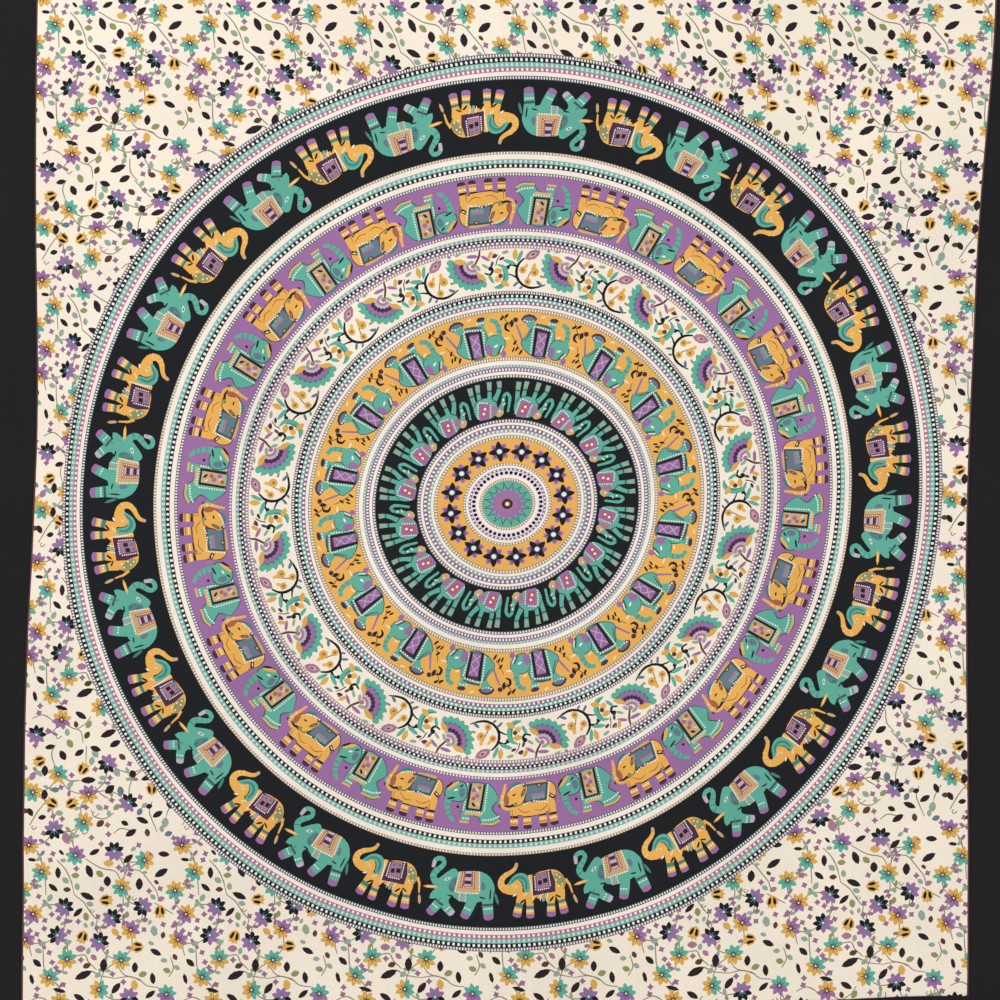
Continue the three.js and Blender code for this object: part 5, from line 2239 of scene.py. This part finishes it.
class Finishes:
    """The materials.

    Attributes:
        groups: The node groups that they share, by name.
    """

    def __init__(self) -> None:
        """Builds the shared node groups."""
        self.groups = {"ring": ring_group(), "cotton": cotton_group(), "wood": wood_group()}

    def start(self, name: str) -> tuple[bpy.types.Material, Desk, bpy.types.Node]:
        """Starts a material.

        Args:
            name: The material's name.

        Returns:
            The material, a desk for it and its shader.
        """
        material = bpy.data.materials.new(name)
        material.use_nodes = True
        material.node_tree.nodes.clear()
        desk = Desk(material.node_tree)
        shader = desk.add("BsdfPrincipled")
        desk.add("OutputMaterial", {0: shader.outputs[0]})
        return material, desk, shader

    def cotton(self, finish: Cotton) -> bpy.types.Material:
        """Makes a plain dyed cotton."""
        material, desk, shader = self.start(finish.name)
        self.weave(desk, shader, finish, colour4(finish.colour))
        return material

    def weave(self, desk: Desk, shader: bpy.types.Node, finish: Cotton, colour: object) -> None:
        """Gives a shader a cotton's weave and shine.

        Args:
            desk: The material's desk.
            shader: Its shader.
            finish: How the cotton looks.
            colour: Its colour, or the socket that gives it.
        """
        cotton = desk.add("Group", node_tree=self.groups["cotton"])
        if isinstance(colour, bpy.types.NodeSocket):
            desk.tree.links.new(colour, cotton.inputs["Color"])
        else:
            cotton.inputs["Color"].default_value = colour
        cotton.inputs["Depth"].default_value = finish.weave
        desk.dress(shader, cotton, {"Roughness": finish.roughness, "Sheen Weight": finish.sheen,
                                    "Specular IOR Level": COTTON_SHINE})

    def wood(self, finish: Wood) -> bpy.types.Material:
        """Makes a wood with its grain along the rod.

        Args:
            finish: How it looks.

        Returns:
            The material.
        """
        material, desk, shader = self.start(finish.name)
        grain = desk.add("Group", node_tree=self.groups["wood"])
        for key, value in (("Light", colour4(finish.light)), ("Dark", colour4(finish.dark)),
                           ("Scale", finish.grain)):
            grain.inputs[key].default_value = value
        desk.dress(shader, grain, {"Roughness": finish.roughness, "Coat Weight": WOOD_COAT})
        return material

    def printed_cotton(self) -> bpy.types.Material:
        """Makes the printed cotton: rings worked out from the radius, figures from their dye, and a
        painted seam shadow beside each side border.

        Returns:
            The material.
        """
        material, desk, shader = self.start(PRINTED_COTTON.name)
        unit = desk.add("SeparateXYZ", {0: desk.add("UVMap", uv_map="OFBake").outputs[0]}).outputs
        across = desk.math("MULTIPLY", desk.math("SUBTRACT", unit[0], 0.5), PRINT.width)
        side = desk.math("SUBTRACT", across, PRINT.aside)
        height = PRINT.height / MEDALLION_STRETCH
        up = desk.math("MULTIPLY", desk.math("SUBTRACT", unit[1], 0.5), height)
        radius = desk.math("MULTIPLY", desk.math("SQRT", desk.math(
            "ADD", desk.math("MULTIPLY", side, side), desk.math("MULTIPLY", up, up))), 1000.0)
        turns = desk.math("DIVIDE", desk.math("ARCTAN2", up, side), 2 * math.pi)
        turns = desk.math("ADD", turns, 1.0)
        below = desk.add("RGB").outputs[0]
        below.default_value = colour4(PRINTED_COTTON.colour)
        for ring, following in zip(RINGS, [*RINGS[1:], Ring(0.0, SHELL)]):
            deep = ring.outer - following.outer
            node = desk.add("Group", {"Below": below, "Radius": radius}, node_tree=self.groups["ring"])
            if ring.dots:
                desk.tree.links.new(turns, node.inputs["Turns"])
            for key, value in (("Outer", ring.outer), ("Middle", ring.outer - deep / 2),
                               ("Half", deep * 0.33), ("Count", float(ring.dots)),
                               ("Long", ring.long), ("Start", ring.turn),
                               ("Ring", colour4(ring.dye)), ("Spot", colour4(ring.spot))):
                node.inputs[key].default_value = value
            below = node.outputs[0]
        figure = desk.add("VertexColor", layer_name="dye")
        colour = desk.mix(figure.outputs["Alpha"], below, figure.outputs["Color"])
        # Painted seam shadow: a thin dark line on the panel just inside each side border's edge.
        rim = desk.math("GREATER_THAN", desk.math("ABSOLUTE", across),
                        PRINT.width / 2 - PRINT.lap - PRINT.seam_shade_width)
        colour = desk.mix(rim, colour, colour4(SEAM_SHADE_TONE))
        behind = desk.add("NewGeometry").outputs["Backfacing"]
        pale = desk.mix(BACK_SHARE, colour, colour4(BACK_TONE))
        colour = desk.mix(behind, colour, pale)
        self.weave(desk, shader, PRINTED_COTTON, colour)
        return material


# ---- The setting ---------------------------------------------------------------------------------


@dataclass(frozen=True)
class Studio:
    """The floor, the lights and the camera, in metres.

    Attributes:
        floor_z: The floor's height.
        seen: The width of cloth that the camera takes in.
        distance: From the camera to the cloth.
        aim_x: Where the camera looks, across.
        aim_z: Where it looks, in height.
        sensor: The width of the camera's sensor, in millimetres.
    """

    floor_z: float = -2.62
    seen: float = 2.053
    distance: float = 5.0
    aim_x: float = -0.0216
    aim_z: float = -1.105
    sensor: float = 36.0

    def build(self) -> None:
        """Makes the floor, the lights and the camera."""
        bpy.ops.object.select_all(action="DESELECT")
        bpy.ops.mesh.primitive_plane_add(size=16, location=(0, 0, self.floor_z))
        floor = bpy.context.object
        floor.name = "floor"
        paint = bpy.data.materials.new("floor paint")
        paint.use_nodes = True
        shader = paint.node_tree.nodes["Principled BSDF"]
        shader.inputs["Base Color"].default_value = colour4(FLOOR_TONE)
        shader.inputs["Roughness"].default_value = 0.85
        floor.data.materials.append(paint)

        scene = bpy.context.scene
        scene.view_settings.view_transform = "Standard"
        world = bpy.data.worlds.new("studio")
        world.use_nodes = True
        sky = world.node_tree.nodes["Background"]
        sky.inputs[0].default_value = (0.95, 0.97, 1.0, 1)
        sky.inputs[1].default_value = 0.62
        scene.world = world
        self.lamp("key", (-2.6, -3.6, 1.3), (0, 0, -1.0), 2.6, 95)
        self.lamp("fill", (3.4, -3.0, -0.6), (0, 0, -1.1), 2.4, 34)
        self.lamp("back", (1.8, 3.4, 0.9), (0, 0, -1.0), 2.4, 60)

        camera_data = bpy.data.cameras.new("camera")
        camera_data.type = "PERSP"
        camera_data.sensor_width = self.sensor
        camera_data.lens = self.sensor * self.distance / self.seen
        camera = bpy.data.objects.new("camera", camera_data)
        camera.location = (self.aim_x, PRINT.front - self.distance, self.aim_z)
        camera.rotation_euler = (math.pi / 2, 0, 0)
        scene.collection.objects.link(camera)
        scene.camera = camera

    def lamp(self, name: str, place: Sequence[float], target: Sequence[float], size: float,
             power: float) -> None:
        """Adds a soft square light aimed at a point.

        Args:
            name: Its name.
            place: Where it is.
            target: The point.
            size: Its width.
            power: Its power, in watts.
        """
        light = bpy.data.lights.new(name, "AREA")
        light.size = size
        light.energy = power
        lamp = bpy.data.objects.new(name, light)
        lamp.location = place
        way = Vector(target) - Vector(place)
        lamp.rotation_euler = way.to_track_quat("-Z", "Y").to_euler()
        bpy.context.scene.collection.objects.link(lamp)


def main() -> None:
    """Builds the wall hanging, its materials and its setting."""
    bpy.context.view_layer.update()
    finishes = Finishes()
    border = finishes.cotton(BORDER_COTTON)
    thread = finishes.cotton(THREAD)
    PrintedPanel().build(finishes.printed_cotton())
    RodSleeve().build(border)
    stitches = StitchRow()
    for edge in Edge:
        BORDER.build(edge, border)
        stitches.build(f"seam_thread_{edge.value}", thread)
        stitches.build(f"hem_thread_{edge.value}", thread)
    for part in ("upper", "lower"):
        stitches.build(f"sleeve_thread_{part}", thread)
    Rod().build(finishes.wood(ROD_WOOD))
    cap_wood = finishes.wood(CAP_WOOD)
    for edge in (Edge.LEFT, Edge.RIGHT):
        EndCap().build(edge, cap_wood)
    Studio().build()


if __name__ == "__main__":
    main()
